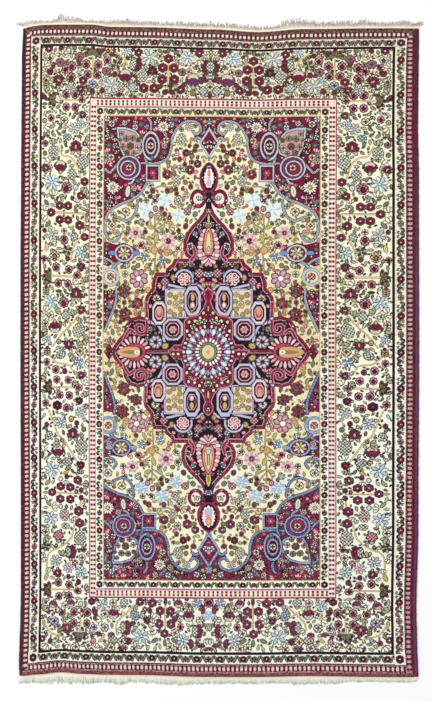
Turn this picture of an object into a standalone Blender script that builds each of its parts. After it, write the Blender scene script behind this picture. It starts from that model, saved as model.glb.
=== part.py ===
"""A hand-knotted rug, lying flat with its pile up.

X runs across the rug, Y along it and Z up. The middle of its box stands at the origin, on the floor.
Sizes are in metres, or in millimetres where a name ends in _mm.
"""

import bisect
import collections
import math
import random

import bpy

MM = 0.001

# The rug's nominal rectangle: over both side cords, and from pile end to pile end without the fringes.
RUG_WIDTH = 1.300
RUG_LENGTH = 2.116
HALF_WIDTH = RUG_WIDTH / 2
HALF_LENGTH = RUG_LENGTH / 2

# Foundation and pile together, with the pile sheared round along its rim.
PILE_THICKNESS = 0.008
PILE_ROUNDING = 0.0015
PILE_ROUNDING_STEPS = 2
RIM_ANGLE = math.radians(60)
WELD_DISTANCE = 0.00005

# Side cords: warps wrapped in wool, one on the left and two side by side on the right.
LEFT_CORD_WIDTH = 0.009
RIGHT_CORD_WIDTH = 0.0155
CORD_HEIGHT = 0.0068
CORD_SIDES = 12
CORD_WAIST_ANGLE = math.radians(35)

# Fringe: a narrow woven band, then the warp ends in tufts.
FRINGE_THICKNESS = 0.002
FRINGE_BAND = 0.005
TUFTS = 50
TUFT_TIP_WIDTH = 0.008
TUFT_UNEVENNESS = 0.0025

SEAM_GAP = 0.0003
CORD_END_GAP = 0.0008
SECTION_SPACING = 0.070
PILE_LEFT = -HALF_WIDTH + LEFT_CORD_WIDTH + SEAM_GAP
PILE_RIGHT = HALF_WIDTH - RIGHT_CORD_WIDTH - SEAM_GAP

EdgeRow = collections.namedtuple("EdgeRow", "along_mm out_mm")
FringeRow = collections.namedtuple("FringeRow", "along_mm reach_mm lean_mm")

# How far each edge stands out of the nominal rectangle, from its bottom or left end onwards.
LEFT_EDGE = [
    EdgeRow(-1058, 6.0),
    EdgeRow(-1025, 7.8),
    EdgeRow(-940, 5.8),
    EdgeRow(-890, 3.5),
    EdgeRow(-780, 1.5),
    EdgeRow(-560, 1.5),
    EdgeRow(10, 3.2),
    EdgeRow(295, 3.0),
    EdgeRow(580, 0.9),
    EdgeRow(950, -1.7),
    EdgeRow(1058, -5.7),
]
RIGHT_EDGE = [
    EdgeRow(-1058, 0.2),
    EdgeRow(-940, -3.7),
    EdgeRow(-840, -6.0),
    EdgeRow(-565, 0.0),
    EdgeRow(10, 2.8),
    EdgeRow(580, 2.0),
    EdgeRow(740, -0.7),
    EdgeRow(810, 0.2),
    EdgeRow(1058, 2.5),
]
TOP_EDGE = [
    EdgeRow(-650, 1.3),
    EdgeRow(-613, 8.5),
    EdgeRow(-586, 12.4),
    EdgeRow(-540, 13.4),
    EdgeRow(-426, 13.7),
    EdgeRow(-359, 6.2),
    EdgeRow(-260, 5.2),
    EdgeRow(-25, -2.3),
    EdgeRow(122, -11.1),
    EdgeRow(275, -1.3),
    EdgeRow(524, 1.5),
    EdgeRow(650, 1.3),
]
BOTTOM_EDGE = [
    EdgeRow(-650, 1.0),
    EdgeRow(-588, -4.6),
    EdgeRow(-516, -11.8),
    EdgeRow(-436, -6.2),
    EdgeRow(-359, -3.6),
    EdgeRow(-270, -2.9),
    EdgeRow(-42, 3.6),
    EdgeRow(122, 3.6),
    EdgeRow(301, 0.3),
    EdgeRow(498, 3.6),
    EdgeRow(650, 4.6),
]

# How far the warp ends reach past the pile, and how far their tips lean to the right.
TOP_FRINGE = [
    FringeRow(-650, 27, -28),
    FringeRow(-600, 27, -9),
    FringeRow(-560, 17, -1),
    FringeRow(-520, 41, -5),
    FringeRow(-480, 30, 4),
    FringeRow(-440, 19, 0),
    FringeRow(-325, 31, 3),
    FringeRow(-210, 23, -3),
    FringeRow(-90, 29, 2),
    FringeRow(80, 27, -2),
    FringeRow(180, 23, 0),
    FringeRow(225, 44, -5),
    FringeRow(265, 40, 4),
    FringeRow(330, 31, 2),
    FringeRow(460, 33, 3),
    FringeRow(520, 26, 3),
    FringeRow(600, 31, 8),
    FringeRow(650, 28, 20),
]
BOTTOM_FRINGE = [
    FringeRow(-650, 28, -5),
    FringeRow(-520, 40, 0),
    FringeRow(-440, 38, 3),
    FringeRow(-360, 30, 0),
    FringeRow(-325, 38, -2),
    FringeRow(-285, 29, 2),
    FringeRow(-130, 34, 3),
    FringeRow(-40, 26, 0),
    FringeRow(180, 27, -3),
    FringeRow(290, 33, 0),
    FringeRow(380, 29, 2),
    FringeRow(430, 21, 0),
    FringeRow(560, 20, -3),
    FringeRow(650, 19, -6),
]

PILE_COLOUR = (0.58, 0.43, 0.34)
WINE_COLOUR = (0.17, 0.02, 0.05)
COTTON_COLOUR = (0.80, 0.76, 0.64)
WOOL_ROUGHNESS = 0.9
COTTON_ROUGHNESS = 0.85


def clear_scene():
    for obj in list(bpy.data.objects):
        bpy.data.objects.remove(obj, do_unlink=True)


def new_collection(name):
    collection = bpy.data.collections.new(name)
    bpy.context.scene.collection.children.link(collection)
    return collection


def cloth_material(name, colour, roughness):
    material = bpy.data.materials.new(name)
    material.use_nodes = True
    material.diffuse_color = (*colour, 1.0)
    shader = material.node_tree.nodes["Principled BSDF"]
    shader.inputs["Base Color"].default_value = (*colour, 1.0)
    shader.inputs["Roughness"].default_value = roughness
    shader.inputs["Metallic"].default_value = 0.0
    return material


def read_row(rows, along_mm, column):
    """A column's value at a place between two rows, eased so that the edge bends softly at each row."""
    places = [row.along_mm for row in rows]
    after = min(max(bisect.bisect(places, along_mm), 1), len(rows) - 1)
    low = rows[after - 1]
    high = rows[after]
    share = (along_mm - low.along_mm) / (high.along_mm - low.along_mm)
    share = min(max(share, 0.0), 1.0)
    eased = share * share * (3 - 2 * share)
    start = getattr(low, column)
    return start + eased * (getattr(high, column) - start)


def woven(x, y):
    """The real place of a point of the nominal rectangle. Each edge's unevenness fades out towards the
    opposite edge, so the pieces that share an edge keep their gap all along it."""
    to_right = (x / HALF_WIDTH + 1) / 2
    to_top = (y / HALF_LENGTH + 1) / 2
    left_out = read_row(LEFT_EDGE, y / MM, "out_mm") * (1 - to_right)
    right_out = read_row(RIGHT_EDGE, y / MM, "out_mm") * to_right
    bottom_out = read_row(BOTTOM_EDGE, x / MM, "out_mm") * (1 - to_top)
    top_out = read_row(TOP_EDGE, x / MM, "out_mm") * to_top
    return x + (right_out - left_out) * MM, y + (top_out - bottom_out) * MM


def spaced(start, end):
    """Even places from start up to end, leaving end out, about a section's spacing apart."""
    steps = math.ceil(abs(end - start) / SECTION_SPACING)
    return [start + (end - start) * i / steps for i in range(steps)]


def tuft_places():
    """Where one tuft ends and the next begins. The pile and the fringe bend there too along their seam."""
    return [RUG_WIDTH * (i / TUFTS - 0.5) for i in range(TUFTS + 1)]


def pile_outline():
    inner = [x for x in tuft_places() if PILE_LEFT < x < PILE_RIGHT]
    bottom_side = [woven(x, -HALF_LENGTH) for x in [PILE_LEFT, *inner]]
    right_side = [woven(PILE_RIGHT, y) for y in spaced(-HALF_LENGTH, HALF_LENGTH)]
    top_side = [woven(x, HALF_LENGTH) for x in [PILE_RIGHT, *reversed(inner)]]
    left_side = [woven(PILE_LEFT, y) for y in spaced(HALF_LENGTH, -HALF_LENGTH)]
    return bottom_side + right_side + top_side + left_side


def cord_line(x):
    """A line along a side cord, whose square ends stop a little short of the fringes."""
    end = HALF_LENGTH - CORD_END_GAP
    return [woven(x, y) for y in [*spaced(-end, end), end]]


def fringe_outline(rows, end, seed):
    """A comb with its back along the rug's end: end is 1 for the top end and -1 for the bottom one."""
    unevenness = random.Random(seed)
    seam = HALF_LENGTH + SEAM_GAP
    places = tuft_places()
    seam_places = sorted([*places, PILE_LEFT, PILE_RIGHT], reverse=True)
    back = [woven(x, end * seam) for x in seam_places]
    teeth = []
    for valley_x, next_x in zip(places, places[1:]):
        valley_depth = FRINGE_BAND + unevenness.uniform(0, TUFT_UNEVENNESS)
        middle_x = (valley_x + next_x) / 2
        tip_x = middle_x + read_row(rows, middle_x / MM, "lean_mm") * MM
        reach = read_row(rows, middle_x / MM, "reach_mm") * MM
        reach += unevenness.uniform(-TUFT_UNEVENNESS, TUFT_UNEVENNESS)
        teeth.append(woven(valley_x, end * (seam + valley_depth)))
        teeth.append(woven(tip_x - TUFT_TIP_WIDTH / 2, end * (seam + reach)))
        teeth.append(woven(tip_x + TUFT_TIP_WIDTH / 2, end * (seam + reach)))
    teeth.append(woven(HALF_WIDTH, end * (seam + FRINGE_BAND)))
    return back + teeth


def box_middle(outlines):
    """The middle of the box around every outline, which is where the rug's own origin goes."""
    xs = [x for outline in outlines for x, _ in outline]
    ys = [y for outline in outlines for _, y in outline]
    return (min(xs) + max(xs)) / 2, (min(ys) + max(ys)) / 2


def poly_curve(name, points, dimensions, cyclic):
    curve = bpy.data.curves.new(name, "CURVE")
    curve.dimensions = dimensions
    spline = curve.splines.new("POLY")
    spline.points.add(len(points) - 1)
    for point, (x, y) in zip(spline.points, points):
        point.co = (x, y, 0.0, 1.0)
    spline.use_cyclic_u = cyclic
    return curve


def flat_piece(name, outline, thickness, material, middle, collection):
    """An outline cut from cloth of one thickness, resting on the floor."""
    curve = poly_curve(name, outline, "2D", True)
    curve.fill_mode = "BOTH"
    curve.extrude = thickness / 2
    curve.materials.append(material)
    obj = bpy.data.objects.new(name, curve)
    obj.location = (-middle[0], -middle[1], thickness / 2)
    collection.objects.link(obj)
    return obj


def round_rim(obj, radius, steps):
    weld = obj.modifiers.new("weld_caps", "WELD")
    weld.merge_threshold = WELD_DISTANCE
    bevel = obj.modifiers.new("sheared_rim", "BEVEL")
    bevel.width = radius
    bevel.segments = steps
    bevel.limit_method = "ANGLE"
    bevel.angle_limit = RIM_ANGLE


def cord_profile(name, width, cords, helpers):
    """The section across a side cord: an oval for each wrapped cord, run together side by side."""
    half_height = CORD_HEIGHT / 2
    half_cord = width / cords / 2
    half_sides = CORD_SIDES // 2
    points = []
    for cord in range(cords):
        centre = (2 * cord + 1 - cords) * half_cord
        start = -math.pi + (CORD_WAIST_ANGLE if cord > 0 else 0.0)
        stop = -(CORD_WAIST_ANGLE if cord < cords - 1 else 0.0)
        for i in range(half_sides + 1):
            angle = start + (stop - start) * i / half_sides
            points.append((centre + half_cord * math.cos(angle), half_height * math.sin(angle)))
    lower = points[1:-1]
    upper = [(x, -y) for x, y in lower]
    curve = poly_curve(name, [points[0], *upper, points[-1], *reversed(lower)], "2D", True)
    obj = bpy.data.objects.new(name, curve)
    obj.hide_render = True
    obj.display_type = "WIRE"
    helpers.objects.link(obj)
    return obj


def side_cord(name, path, profile, material, middle, collection):
    curve = poly_curve(name, path, "3D", False)
    curve.twist_mode = "Z_UP"
    curve.bevel_mode = "OBJECT"
    curve.bevel_object = profile
    curve.use_fill_caps = True
    curve.materials.append(material)
    obj = bpy.data.objects.new(name, curve)
    obj.location = (-middle[0], -middle[1], CORD_HEIGHT / 2)
    collection.objects.link(obj)
    return obj


def build_rug():
    clear_scene()
    rug = new_collection("persian_rug")
    helpers = new_collection("helpers")
    pile_wool = cloth_material("pile_wool", PILE_COLOUR, WOOL_ROUGHNESS)
    wine_wool = cloth_material("selvedge_wool", WINE_COLOUR, WOOL_ROUGHNESS)
    cotton = cloth_material("fringe_cotton", COTTON_COLOUR, COTTON_ROUGHNESS)

    pile = pile_outline()
    top_comb = fringe_outline(TOP_FRINGE, 1, seed=11)
    bottom_comb = fringe_outline(BOTTOM_FRINGE, -1, seed=23)
    left_path = cord_line(-HALF_WIDTH + LEFT_CORD_WIDTH / 2)
    right_path = cord_line(HALF_WIDTH - RIGHT_CORD_WIDTH / 2)
    outer_lines = [cord_line(-HALF_WIDTH), cord_line(HALF_WIDTH)]
    middle = box_middle([pile, top_comb, bottom_comb, *outer_lines])

    body = flat_piece("rug_body", pile, PILE_THICKNESS, pile_wool, middle, rug)
    round_rim(body, PILE_ROUNDING, PILE_ROUNDING_STEPS)
    flat_piece("fringe_top", top_comb, FRINGE_THICKNESS, cotton, middle, rug)
    flat_piece("fringe_bottom", bottom_comb, FRINGE_THICKNESS, cotton, middle, rug)
    single = cord_profile("single_cord_section", LEFT_CORD_WIDTH, 1, helpers)
    double = cord_profile("double_cord_section", RIGHT_CORD_WIDTH, 2, helpers)
    side_cord("selvedge_left", left_path, single, wine_wool, middle, rug)
    side_cord("selvedge_right", right_path, double, wine_wool, middle, rug)


build_rug()
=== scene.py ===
"""The looks of a hand-knotted floor rug with a floral medallion, lying flat with its pile up.

The pattern is a cartoon, as a weaver would draw it: one dye number for each knot, in squares of two knots
by two. Only the left half is drawn, because the right half is its mirror image. The cartoon is then laid on
the rug's own uneven outline. Places in the tables of flowers, stems and outlines are those of the
photograph, in pixels.
"""

import bisect
import collections
import itertools
import math
import random
from functools import partial

import bmesh
import bpy
import mathutils
import numpy as np
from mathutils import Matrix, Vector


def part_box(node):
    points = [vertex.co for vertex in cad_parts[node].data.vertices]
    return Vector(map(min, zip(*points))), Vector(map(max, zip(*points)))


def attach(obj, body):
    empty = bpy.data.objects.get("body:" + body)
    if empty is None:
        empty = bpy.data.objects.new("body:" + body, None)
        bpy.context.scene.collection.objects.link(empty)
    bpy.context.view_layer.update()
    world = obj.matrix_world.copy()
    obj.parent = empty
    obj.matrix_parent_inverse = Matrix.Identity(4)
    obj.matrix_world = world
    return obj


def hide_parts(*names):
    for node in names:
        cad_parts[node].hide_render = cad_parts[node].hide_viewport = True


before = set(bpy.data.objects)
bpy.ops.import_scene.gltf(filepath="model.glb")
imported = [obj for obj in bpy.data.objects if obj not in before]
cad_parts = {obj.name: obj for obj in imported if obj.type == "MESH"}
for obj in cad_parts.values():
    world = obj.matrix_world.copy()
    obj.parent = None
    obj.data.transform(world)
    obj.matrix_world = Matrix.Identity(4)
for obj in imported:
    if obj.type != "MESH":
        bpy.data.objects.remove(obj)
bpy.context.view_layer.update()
MM = 0.001


def table(kind, rows):
    """Rows of plain numbers and words, each with the names of its columns."""
    return list(itertools.starmap(kind, rows))


# ---------------------------------------------------------------------------- sizes of the cartoon

# A square is one pixel of the photograph. The halves of the rug are counted in squares.
KNOTS_PER_SQUARE = 2
HALF_ACROSS = 196
HALF_ALONG = 324

# Where the rug's axis and middle lie on the photograph, and how the weave grows looser from left to right.
AXIS = 208.2
AXIS_LEAN_UP = 2.6
AXIS_LEAN_DOWN = 1.5
MIDDLE = 352.25
LOOSER_RIGHT = 10.5
LOOSER_SPAN = 199.5
LOOSER_ROUNDS = 4
LOOSER_ROWS = 16.0

# ---------------------------------------------------------------------------- dyes

Dye = collections.namedtuple("Dye", "name red green blue")

DYES = table(Dye, [
    ("ivory", 246, 245, 226), ("cream", 238, 231, 198), ("straw", 222, 204, 154),
    ("sand", 216, 220, 200), ("white", 250, 246, 236), ("blush", 234, 208, 202),
    ("pink", 212, 158, 166), ("rose", 176, 68, 94), ("crimson", 146, 38, 72), ("burgundy", 116, 26, 52),
    ("wine", 70, 16, 36), ("night", 26, 14, 28), ("outline", 46, 36, 34), ("dusk", 66, 40, 62),
    ("plum", 104, 48, 84), ("mauve", 166, 108, 136), ("lilac", 190, 188, 212),
    ("ribbon", 186, 194, 208), ("blue", 112, 140, 188), ("sky", 176, 202, 212), ("steel", 78, 88, 104),
    ("olive", 132, 126, 76), ("moss", 176, 178, 140), ("lime", 190, 192, 108), ("sage", 124, 136, 108),
    ("pine", 54, 64, 50), ("apricot", 214, 160, 116), ("gold", 196, 168, 112), ("stem", 152, 122, 80),
    ("dusty", 190, 152, 154), ("mist", 220, 230, 224), ("shade", 104, 98, 84),
])
NUMBER = {dye.name: i for i, dye in enumerate(DYES)}

# ---------------------------------------------------------------------------- drawing on the cartoon


def counted(x, y):
    """How far out from the axis and up from the middle a place lies that the photograph shows at x, y."""
    along = (MIDDLE - y) / HALF_ALONG
    axis = AXIS + (AXIS_LEAN_UP if along > 0 else AXIS_LEAN_DOWN) * along * along
    out = axis - x
    for _ in range(LOOSER_ROUNDS):
        out = axis - x + LOOSER_RIGHT * (out / LOOSER_SPAN) ** 2
    near_end = along * along
    return out, MIDDLE - y - LOOSER_ROWS * near_end * (1 - near_end)


def near(place, reach, count):
    """Which of a line of knots lie within reach of a place, and how far past the place each one lies."""
    first = min(max(int((place - reach) * KNOTS_PER_SQUARE), 0), count)
    last = min(max(int((place + reach) * KNOTS_PER_SQUARE) + 1, 0), count)
    return slice(first, last), (np.arange(first, last) + 0.5) / KNOTS_PER_SQUARE - place


# A stamp looks at the knots a little beyond the reach that it is given.
WINDOW_SPARE = 1.15
WINDOW_MARGIN = 1.5


class Cartoon:
    """Half of the pattern, seen from one of its places with its own right and ahead."""

    def __init__(self, knots, origin=(0.0, 0.0), right=(1.0, 0.0), ahead=(0.0, 1.0), lower=False):
        self.knots = knots
        self.origin = origin
        self.right = right
        self.ahead = ahead
        self.lower = lower

    def counted(self, x, y):
        """The cartoon's own numbers for a place. The lower half is drawn by the upper half's places."""
        return counted(*folded(x, y)) if self.lower else counted(x, y)

    def direction(self, x, y):
        return [right * x + ahead * y for right, ahead in zip(self.right, self.ahead)]

    def seen_from(self, x, y, turn=0.0):
        """The same cartoon from another of its places. turn is clockwise, in degrees."""
        angle = math.radians(turn)
        across, up = self.direction(x, y)
        right = self.direction(math.cos(angle), -math.sin(angle))
        ahead = self.direction(math.sin(angle), math.cos(angle))
        return Cartoon(self.knots, (self.origin[0] + across, self.origin[1] + up), right, ahead)

    def at(self, x, y, turn=0.0):
        """The same cartoon from a place of the photograph, at the width that the weave has there."""
        out, up = self.counted(x, y)
        stretch = 1 / (1 - 2 * LOOSER_RIGHT * out / LOOSER_SPAN ** 2)
        ahead = (0.0, -1.0 if self.lower else 1.0)
        return Cartoon(self.knots, (out, up), (-stretch, 0.0), ahead).seen_from(0, 0, turn)

    def window(self, reach):
        """The knots within reach, and the place of each one as seen from here."""
        out, up = self.origin
        rows, along = near(up + HALF_ALONG, reach, self.knots.shape[0])
        columns, across = near(out, reach, self.knots.shape[1])
        along = along[:, None]
        area = self.right[0] * self.ahead[1] - self.right[1] * self.ahead[0]
        p = (across * self.ahead[1] - along * self.ahead[0]) / area
        q = (along * self.right[0] - across * self.right[1]) / area
        return self.knots[rows, columns], p, q

    def stamp(self, shape, reach, layers):
        """Paints a shape in layers from the outside in. Each is (how far past the shape's edge, dye)."""
        view, p, q = self.window(reach * WINDOW_SPARE + WINDOW_MARGIN)
        if view.size == 0:
            return
        beyond = np.broadcast_to(shape(p, q), view.shape)
        for grow, dye in layers:
            view[beyond < grow] = NUMBER[dye]

    def trail(self, points, radius, dye):
        for out, up in points:
            view, p, q = Cartoon(self.knots, (out, up)).window(radius)
            view[p * p + q * q < radius * radius] = NUMBER[dye]

    def line(self, points, width, dye, edge=None, edge_width=0.7):
        """A smooth line through places of the photograph, with a darker edge where one is asked for."""
        samples = smooth_path([self.counted(x, y) for x, y in points])
        if edge:
            self.trail(samples, width / 2 + edge_width, edge)
        self.trail(samples, width / 2, dye)

    def region(self, points, layers):
        """The inside of a closed outline through places of the photograph, painted in layers."""
        places = [self.counted(x, y) for x, y in points]
        centre = [(min(side) + max(side)) / 2 for side in zip(*places)]
        spans = [max(side) - min(side) for side in zip(*places)]
        outline = [(out - centre[0], up - centre[1]) for out, up in places]
        Cartoon(self.knots, centre).stamp(outlined(outline), max(spans) / 2 + 4, layers)


# The distance between two dabs of a drawn line.
LINE_STEP = 0.4


def smooth_path(points):
    """Places a small step apart along a curve that runs smoothly through the points."""
    first = [2 * a - b for a, b in zip(points[0], points[1])]
    last = [2 * a - b for a, b in zip(points[-1], points[-2])]
    knees = [first, *points, last]
    samples = []
    for a, b, c, d in zip(knees, knees[1:], knees[2:], knees[3:]):
        count = max(int(math.dist(b, c) / LINE_STEP), 1)
        for i in range(count):
            samples.append(between(a, b, c, d, i / count))
    samples.append(points[-1])
    return samples


def between(a, b, c, d, t):
    """A place on the smooth curve from b to c, whose neighbours are a and d."""
    place = []
    for p, q, r, s in zip(a, b, c, d):
        squared = 2 * p - 5 * q + 4 * r - s
        cubed = 3 * q - p - 3 * r + s
        place.append(0.5 * (2 * q + (r - p) * t + squared * t ** 2 + cubed * t ** 3))
    return place


# Shapes. Each gives, for a place, how many squares it lies beyond the shape's edge, less than 0 inside.


def shaped(rule):
    """Turns a rule, which takes a place and then sizes, into a maker of shapes, which takes the sizes."""

    def maker(*sizes, **more_sizes):
        return lambda p, q: rule(p, q, *sizes, **more_sizes)

    return maker


@shaped
def oval(p, q, half_across, half_along):
    return (np.hypot(p / half_across, q / half_along) - 1) * min(half_across, half_along)


def disc(radius):
    return oval(radius, radius)


@shaped
def scallop(p, q, radius, bumps, depth=0.22, tall=1.0):
    """A round shape with bumps along its rim."""
    angle = np.arctan2(p, q)
    rim = radius * (1 - depth * (1 - np.abs(np.cos(bumps * angle / 2))))
    return np.hypot(p, q / tall) - rim


@shaped
def blade(p, q, length, width, widest=0.5):
    """A pointed leaf that starts here and points ahead. widest is where along it the width is greatest."""
    t = np.clip(q / length, 0.0, 1.0) ** (math.log(0.5) / math.log(widest))
    half = width / 2 * np.sqrt(np.clip(4 * t * (1 - t), 0, 1))
    return np.maximum(np.abs(p) - half, np.maximum(-q, q - length))


@shaped
def block(p, q, half_across, half_along):
    return np.maximum(np.abs(p) - half_across, np.abs(q) - half_along)


@shaped
def diamond(p, q, half_across, half_along):
    return (np.abs(p) / half_across + np.abs(q) / half_along - 1) * min(half_across, half_along)


# The slanting sides of an eight-sided frame are those of a diamond this much larger.
SLANT_SIZE = 1.5


@shaped
def eight_sided(p, q, half_across, half_along):
    across = np.abs(p) / half_across
    along = np.abs(q) / half_along
    widest = np.maximum(np.maximum(across, along), (across + along) / SLANT_SIZE)
    return (widest - 1) * min(half_across, half_along)


# How many degrees past its end an arc counts as one square beyond it.
DEGREES_PAST_END = 20


@shaped
def ring(p, q, radius, half_width, from_turn=-180.0, to_turn=180.0):
    """A ring, or the part of one between two directions, clockwise from ahead."""
    turn = np.degrees(np.arctan2(p, q))
    past_end = np.maximum(from_turn - turn, turn - to_turn) / DEGREES_PAST_END
    return np.maximum(np.abs(np.hypot(p, q) - radius) - half_width, past_end)


@shaped
def outlined(p, q, points):
    """The shape inside a closed outline of straight runs."""
    p, q = np.broadcast_arrays(p, q)
    nearest = np.full(p.shape, np.inf)
    inside = np.zeros(p.shape, bool)
    for (ax, ay), (bx, by) in zip(points, [*points[1:], points[0]]):
        run, rise = bx - ax, by - ay
        share = np.clip(((p - ax) * run + (q - ay) * rise) / (run * run + rise * rise), 0, 1)
        nearest = np.minimum(nearest, (p - ax - share * run) ** 2 + (q - ay - share * rise) ** 2)
        if rise != 0:
            crosses = (q > min(ay, by)) & (q <= max(ay, by))
            inside ^= crosses & (p < ax + (q - ay) * run / rise)
    return np.where(inside, -1, 1) * np.sqrt(nearest)


# The lines of a net count as this far outside the netted shape.
ON_NET_LINE = 9.0


@shaped
def netted(p, q, shape, pitch, gap=0.35):
    """The cells of a slanting net inside a shape."""
    slant = (p + q) / pitch
    counter = (p - q) / pitch
    off_lines = np.maximum(np.abs(slant - np.round(slant)), np.abs(counter - np.round(counter))) < gap
    return np.where(off_lines, shape(p, q), ON_NET_LINE)


# ---------------------------------------------------------------------------- flowers and leaves

# The dark outline around each petal and leaf: how far it lies outside and inside the shape's own edge.
OUTSIDE = 0.55
INSIDE = -0.4
NET_PITCH = 3.3
# A rosette with a smaller reach than this is all scales.
SCALES_BELOW = 5.5


def edged(edge, dye):
    """The two layers of a petal or leaf: its dark outline and its own dye."""
    return [(OUTSIDE, edge), (INSIDE, dye)]


def rays(c, count, shift=0.0):
    """The cartoon seen from one place in even directions all round it, for the petals of a flower."""
    return [c.seen_from(0, 0, (i + shift) * 360 / count) for i in range(count)]


def by_turns(views, *dyes):
    return zip(views, itertools.cycle(dyes))


def dot(c, dye):
    c.stamp(block(0.5, 0.5), 1, [(0, dye)])


def scales(c, shape, reach, edge, light, inside=-0.3):
    """A shape in the edge's dye, covered with pale scales."""
    c.stamp(shape, reach, [(0.3, edge)])
    c.stamp(netted(shape, NET_PITCH), reach, [(inside, light)])


def rosette(c, r, petal="burgundy", heart="blush", edge="outline"):
    """A round flower seen from above, its six petals parted by dark lines."""
    c.stamp(scallop(r, 6, 0.16), r, [(OUTSIDE, edge)])
    for ray in rays(c, 6, 0.5):
        ray.seen_from(0, r * 0.62).stamp(oval(r * 0.31, r * 0.37), r, [(0, petal)])
    c.stamp(disc(r * 0.36), r, [(0, edge), (-0.5, petal)])
    c.stamp(disc(0.75), 2, [(0, heart)])


def ring_rosette(c, r, petal="mauve", heart="burgundy", edge="outline"):
    """A flower of separate petals, each with its own edge. A small one is all scales."""
    if r < SCALES_BELOW:
        scales(c, scallop(r * 0.92, 7, 0.14), r, edge, petal, INSIDE)
        c.stamp(disc(1.0), 2, [(0.3, edge), (-0.2, heart)])
        return
    for ray in rays(c, 8, 0.5):
        tip = ray.seen_from(0, r * 0.64)
        tip.stamp(oval(r * 0.31, r * 0.4), r, edged(edge, petal))
        dot(tip, "blush")
    c.stamp(disc(r * 0.28), r, [(OUTSIDE, edge), (0, heart)])


def daisy(c, r, petal="white", heart="apricot", edge="night", other="ivory", eye=0.28, halo=None):
    """Many narrow petals with gaps between them, every second one of another tone, over a paler halo."""
    if halo:
        c.stamp(scallop(r, 14, 0.12), r, [(0, halo)])
    for ray, (length, ink) in by_turns(rays(c, 14), (0.88, other), (1.0, petal)):
        ray.stamp(blade(r * length, r * 0.26, 0.7), r, [(0.35, edge), (-0.15, ink)])
    c.stamp(disc(r * eye), r, [(0.3, edge), (-0.3, heart)])
    dot(c, "blush")


def leaf(c, length, dye="moss", edge="outline"):
    c.seen_from(0, -length / 2).stamp(blade(length, length * 0.46), length, edged(edge, dye))
    c.stamp(block(0.25, length * 0.3), length, [(0, edge)])


def bud(c, r, dye="burgundy", edge="outline"):
    c.stamp(oval(r * 0.85, r), r, edged(edge, dye))
    if r > 2.3:
        c.seen_from(0, -r * 0.2).stamp(oval(0.5, 0.8), r, [(0, edge)])


def sprig(c, r, dye="moss", edge="outline"):
    """Three little leaves on one stalk."""
    c.stamp(block(0.3, r * 0.8), r, [(0, edge)])
    for turn in (-48, 48, 0):
        c.seen_from(0, -r * 0.3, turn).stamp(blade(r * 1.2, r * 0.62), r * 1.2, edged(edge, dye))


def lily(c, r, petal="sky", tip="white", edge="outline"):
    """A star of narrow pointed petals, every second one lighter."""
    for ray, dye in by_turns(rays(c.seen_from(0, 0, 15), 8), tip, petal):
        ray.stamp(blade(r, r * 0.4, 0.6), r, [(0.45, edge), (-0.25, dye)])
    c.stamp(disc(r * 0.14), r, [(0.3, edge), (0, tip)])


def lobes(c, r, places, size, bumps, depth, layers):
    """The ragged lobes of a full bloom. Their places and their size are shares of its reach."""
    for x, y in places:
        c.seen_from(x * r, y * r).stamp(scallop(r * size, bumps, depth), r, layers)


def carnation(c, r, dye="burgundy", light="pink"):
    """Full ragged lobes above a split calyx."""
    for side in (-1, 1):
        foot = c.seen_from(side * r * 0.1, -r * 0.3, 180 - side * 40)
        foot.stamp(blade(r * 0.85, r * 0.42), r * 1.2, edged("outline", "moss"))
    ragged = edged("outline", dye)
    lobes(c, r, ((-0.46, -0.1), (0.46, -0.1)), 0.42, 5, 0.3, ragged)
    lobes(c, r, ((-0.3, 0.38), (0.3, 0.38)), 0.4, 5, 0.3, ragged)
    lobes(c, r, ((0, 0.62),), 0.34, 5, 0.3, ragged)
    c.seen_from(0, r * 0.05).stamp(oval(r * 0.13, r * 0.3), r, [(OUTSIDE, "wine"), (0, light)])


def tulip(c, r, dye="burgundy"):
    """A hanging cup on a pointed calyx, with a crown of pale scales round its mouth."""
    c.seen_from(0, r * 0.6).stamp(blade(r * 0.7, r * 0.5), r, edged("outline", "moss"))
    cup = ((-0.56, -0.02), (0.56, -0.02), (-0.3, 0.36), (0.3, 0.36))
    lobes(c, r, cup, 0.46, 5, 0.2, [(OUTSIDE, "outline"), (-0.2, dye)])
    mouth = c.seen_from(0, -r * 0.28)
    mouth.stamp(oval(r * 0.72, r * 0.56), r, [(0.3, "outline"), (-0.3, "dusty")])
    mouth.stamp(netted(oval(r * 0.72, r * 0.56), NET_PITCH), r, [(INSIDE, "sand")])
    c.seen_from(0, r * 0.2).stamp(oval(r * 0.66, r * 0.42), r, [(0.3, "outline"), (0, dye)])


def net_oval(c, r, light="sand", dye="steel"):
    """A long bloom covered in scales, with a knobbly outline."""
    scales(c, scallop(r * 0.84, 9, 0.14, tall=1.25), r * 1.2, "outline", light)
    for ray in rays(c, 5):
        dot(ray.seen_from(0, r * 0.4), dye)


def cone(c, r, light="dusty", edge="wine", dye="burgundy"):
    """A bud like a fir cone: rows of pale scales with a dark heart."""
    scales(c, scallop(r * 0.9, 8, 0.14, tall=1.15), r * 1.2, edge, light)
    c.seen_from(0, -r * 0.15).stamp(oval(r * 0.3, r * 0.4), r, edged(edge, dye))


def dome(c, r, dye="steel", light="sand"):
    """A flower seen from the side, a rounded cap with scales above a pointed calyx."""
    c.seen_from(0, -r * 0.35, 180).stamp(blade(r * 0.75, r * 0.7), r, edged("outline", "moss"))
    cap = c.seen_from(0, r * 0.05)
    cap.stamp(scallop(r * 0.8, 7), r, [(OUTSIDE, "outline"), (-0.3, dye)])
    cap.stamp(netted(disc(r * 0.72), NET_PITCH), r, [(INSIDE, light)])


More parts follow.
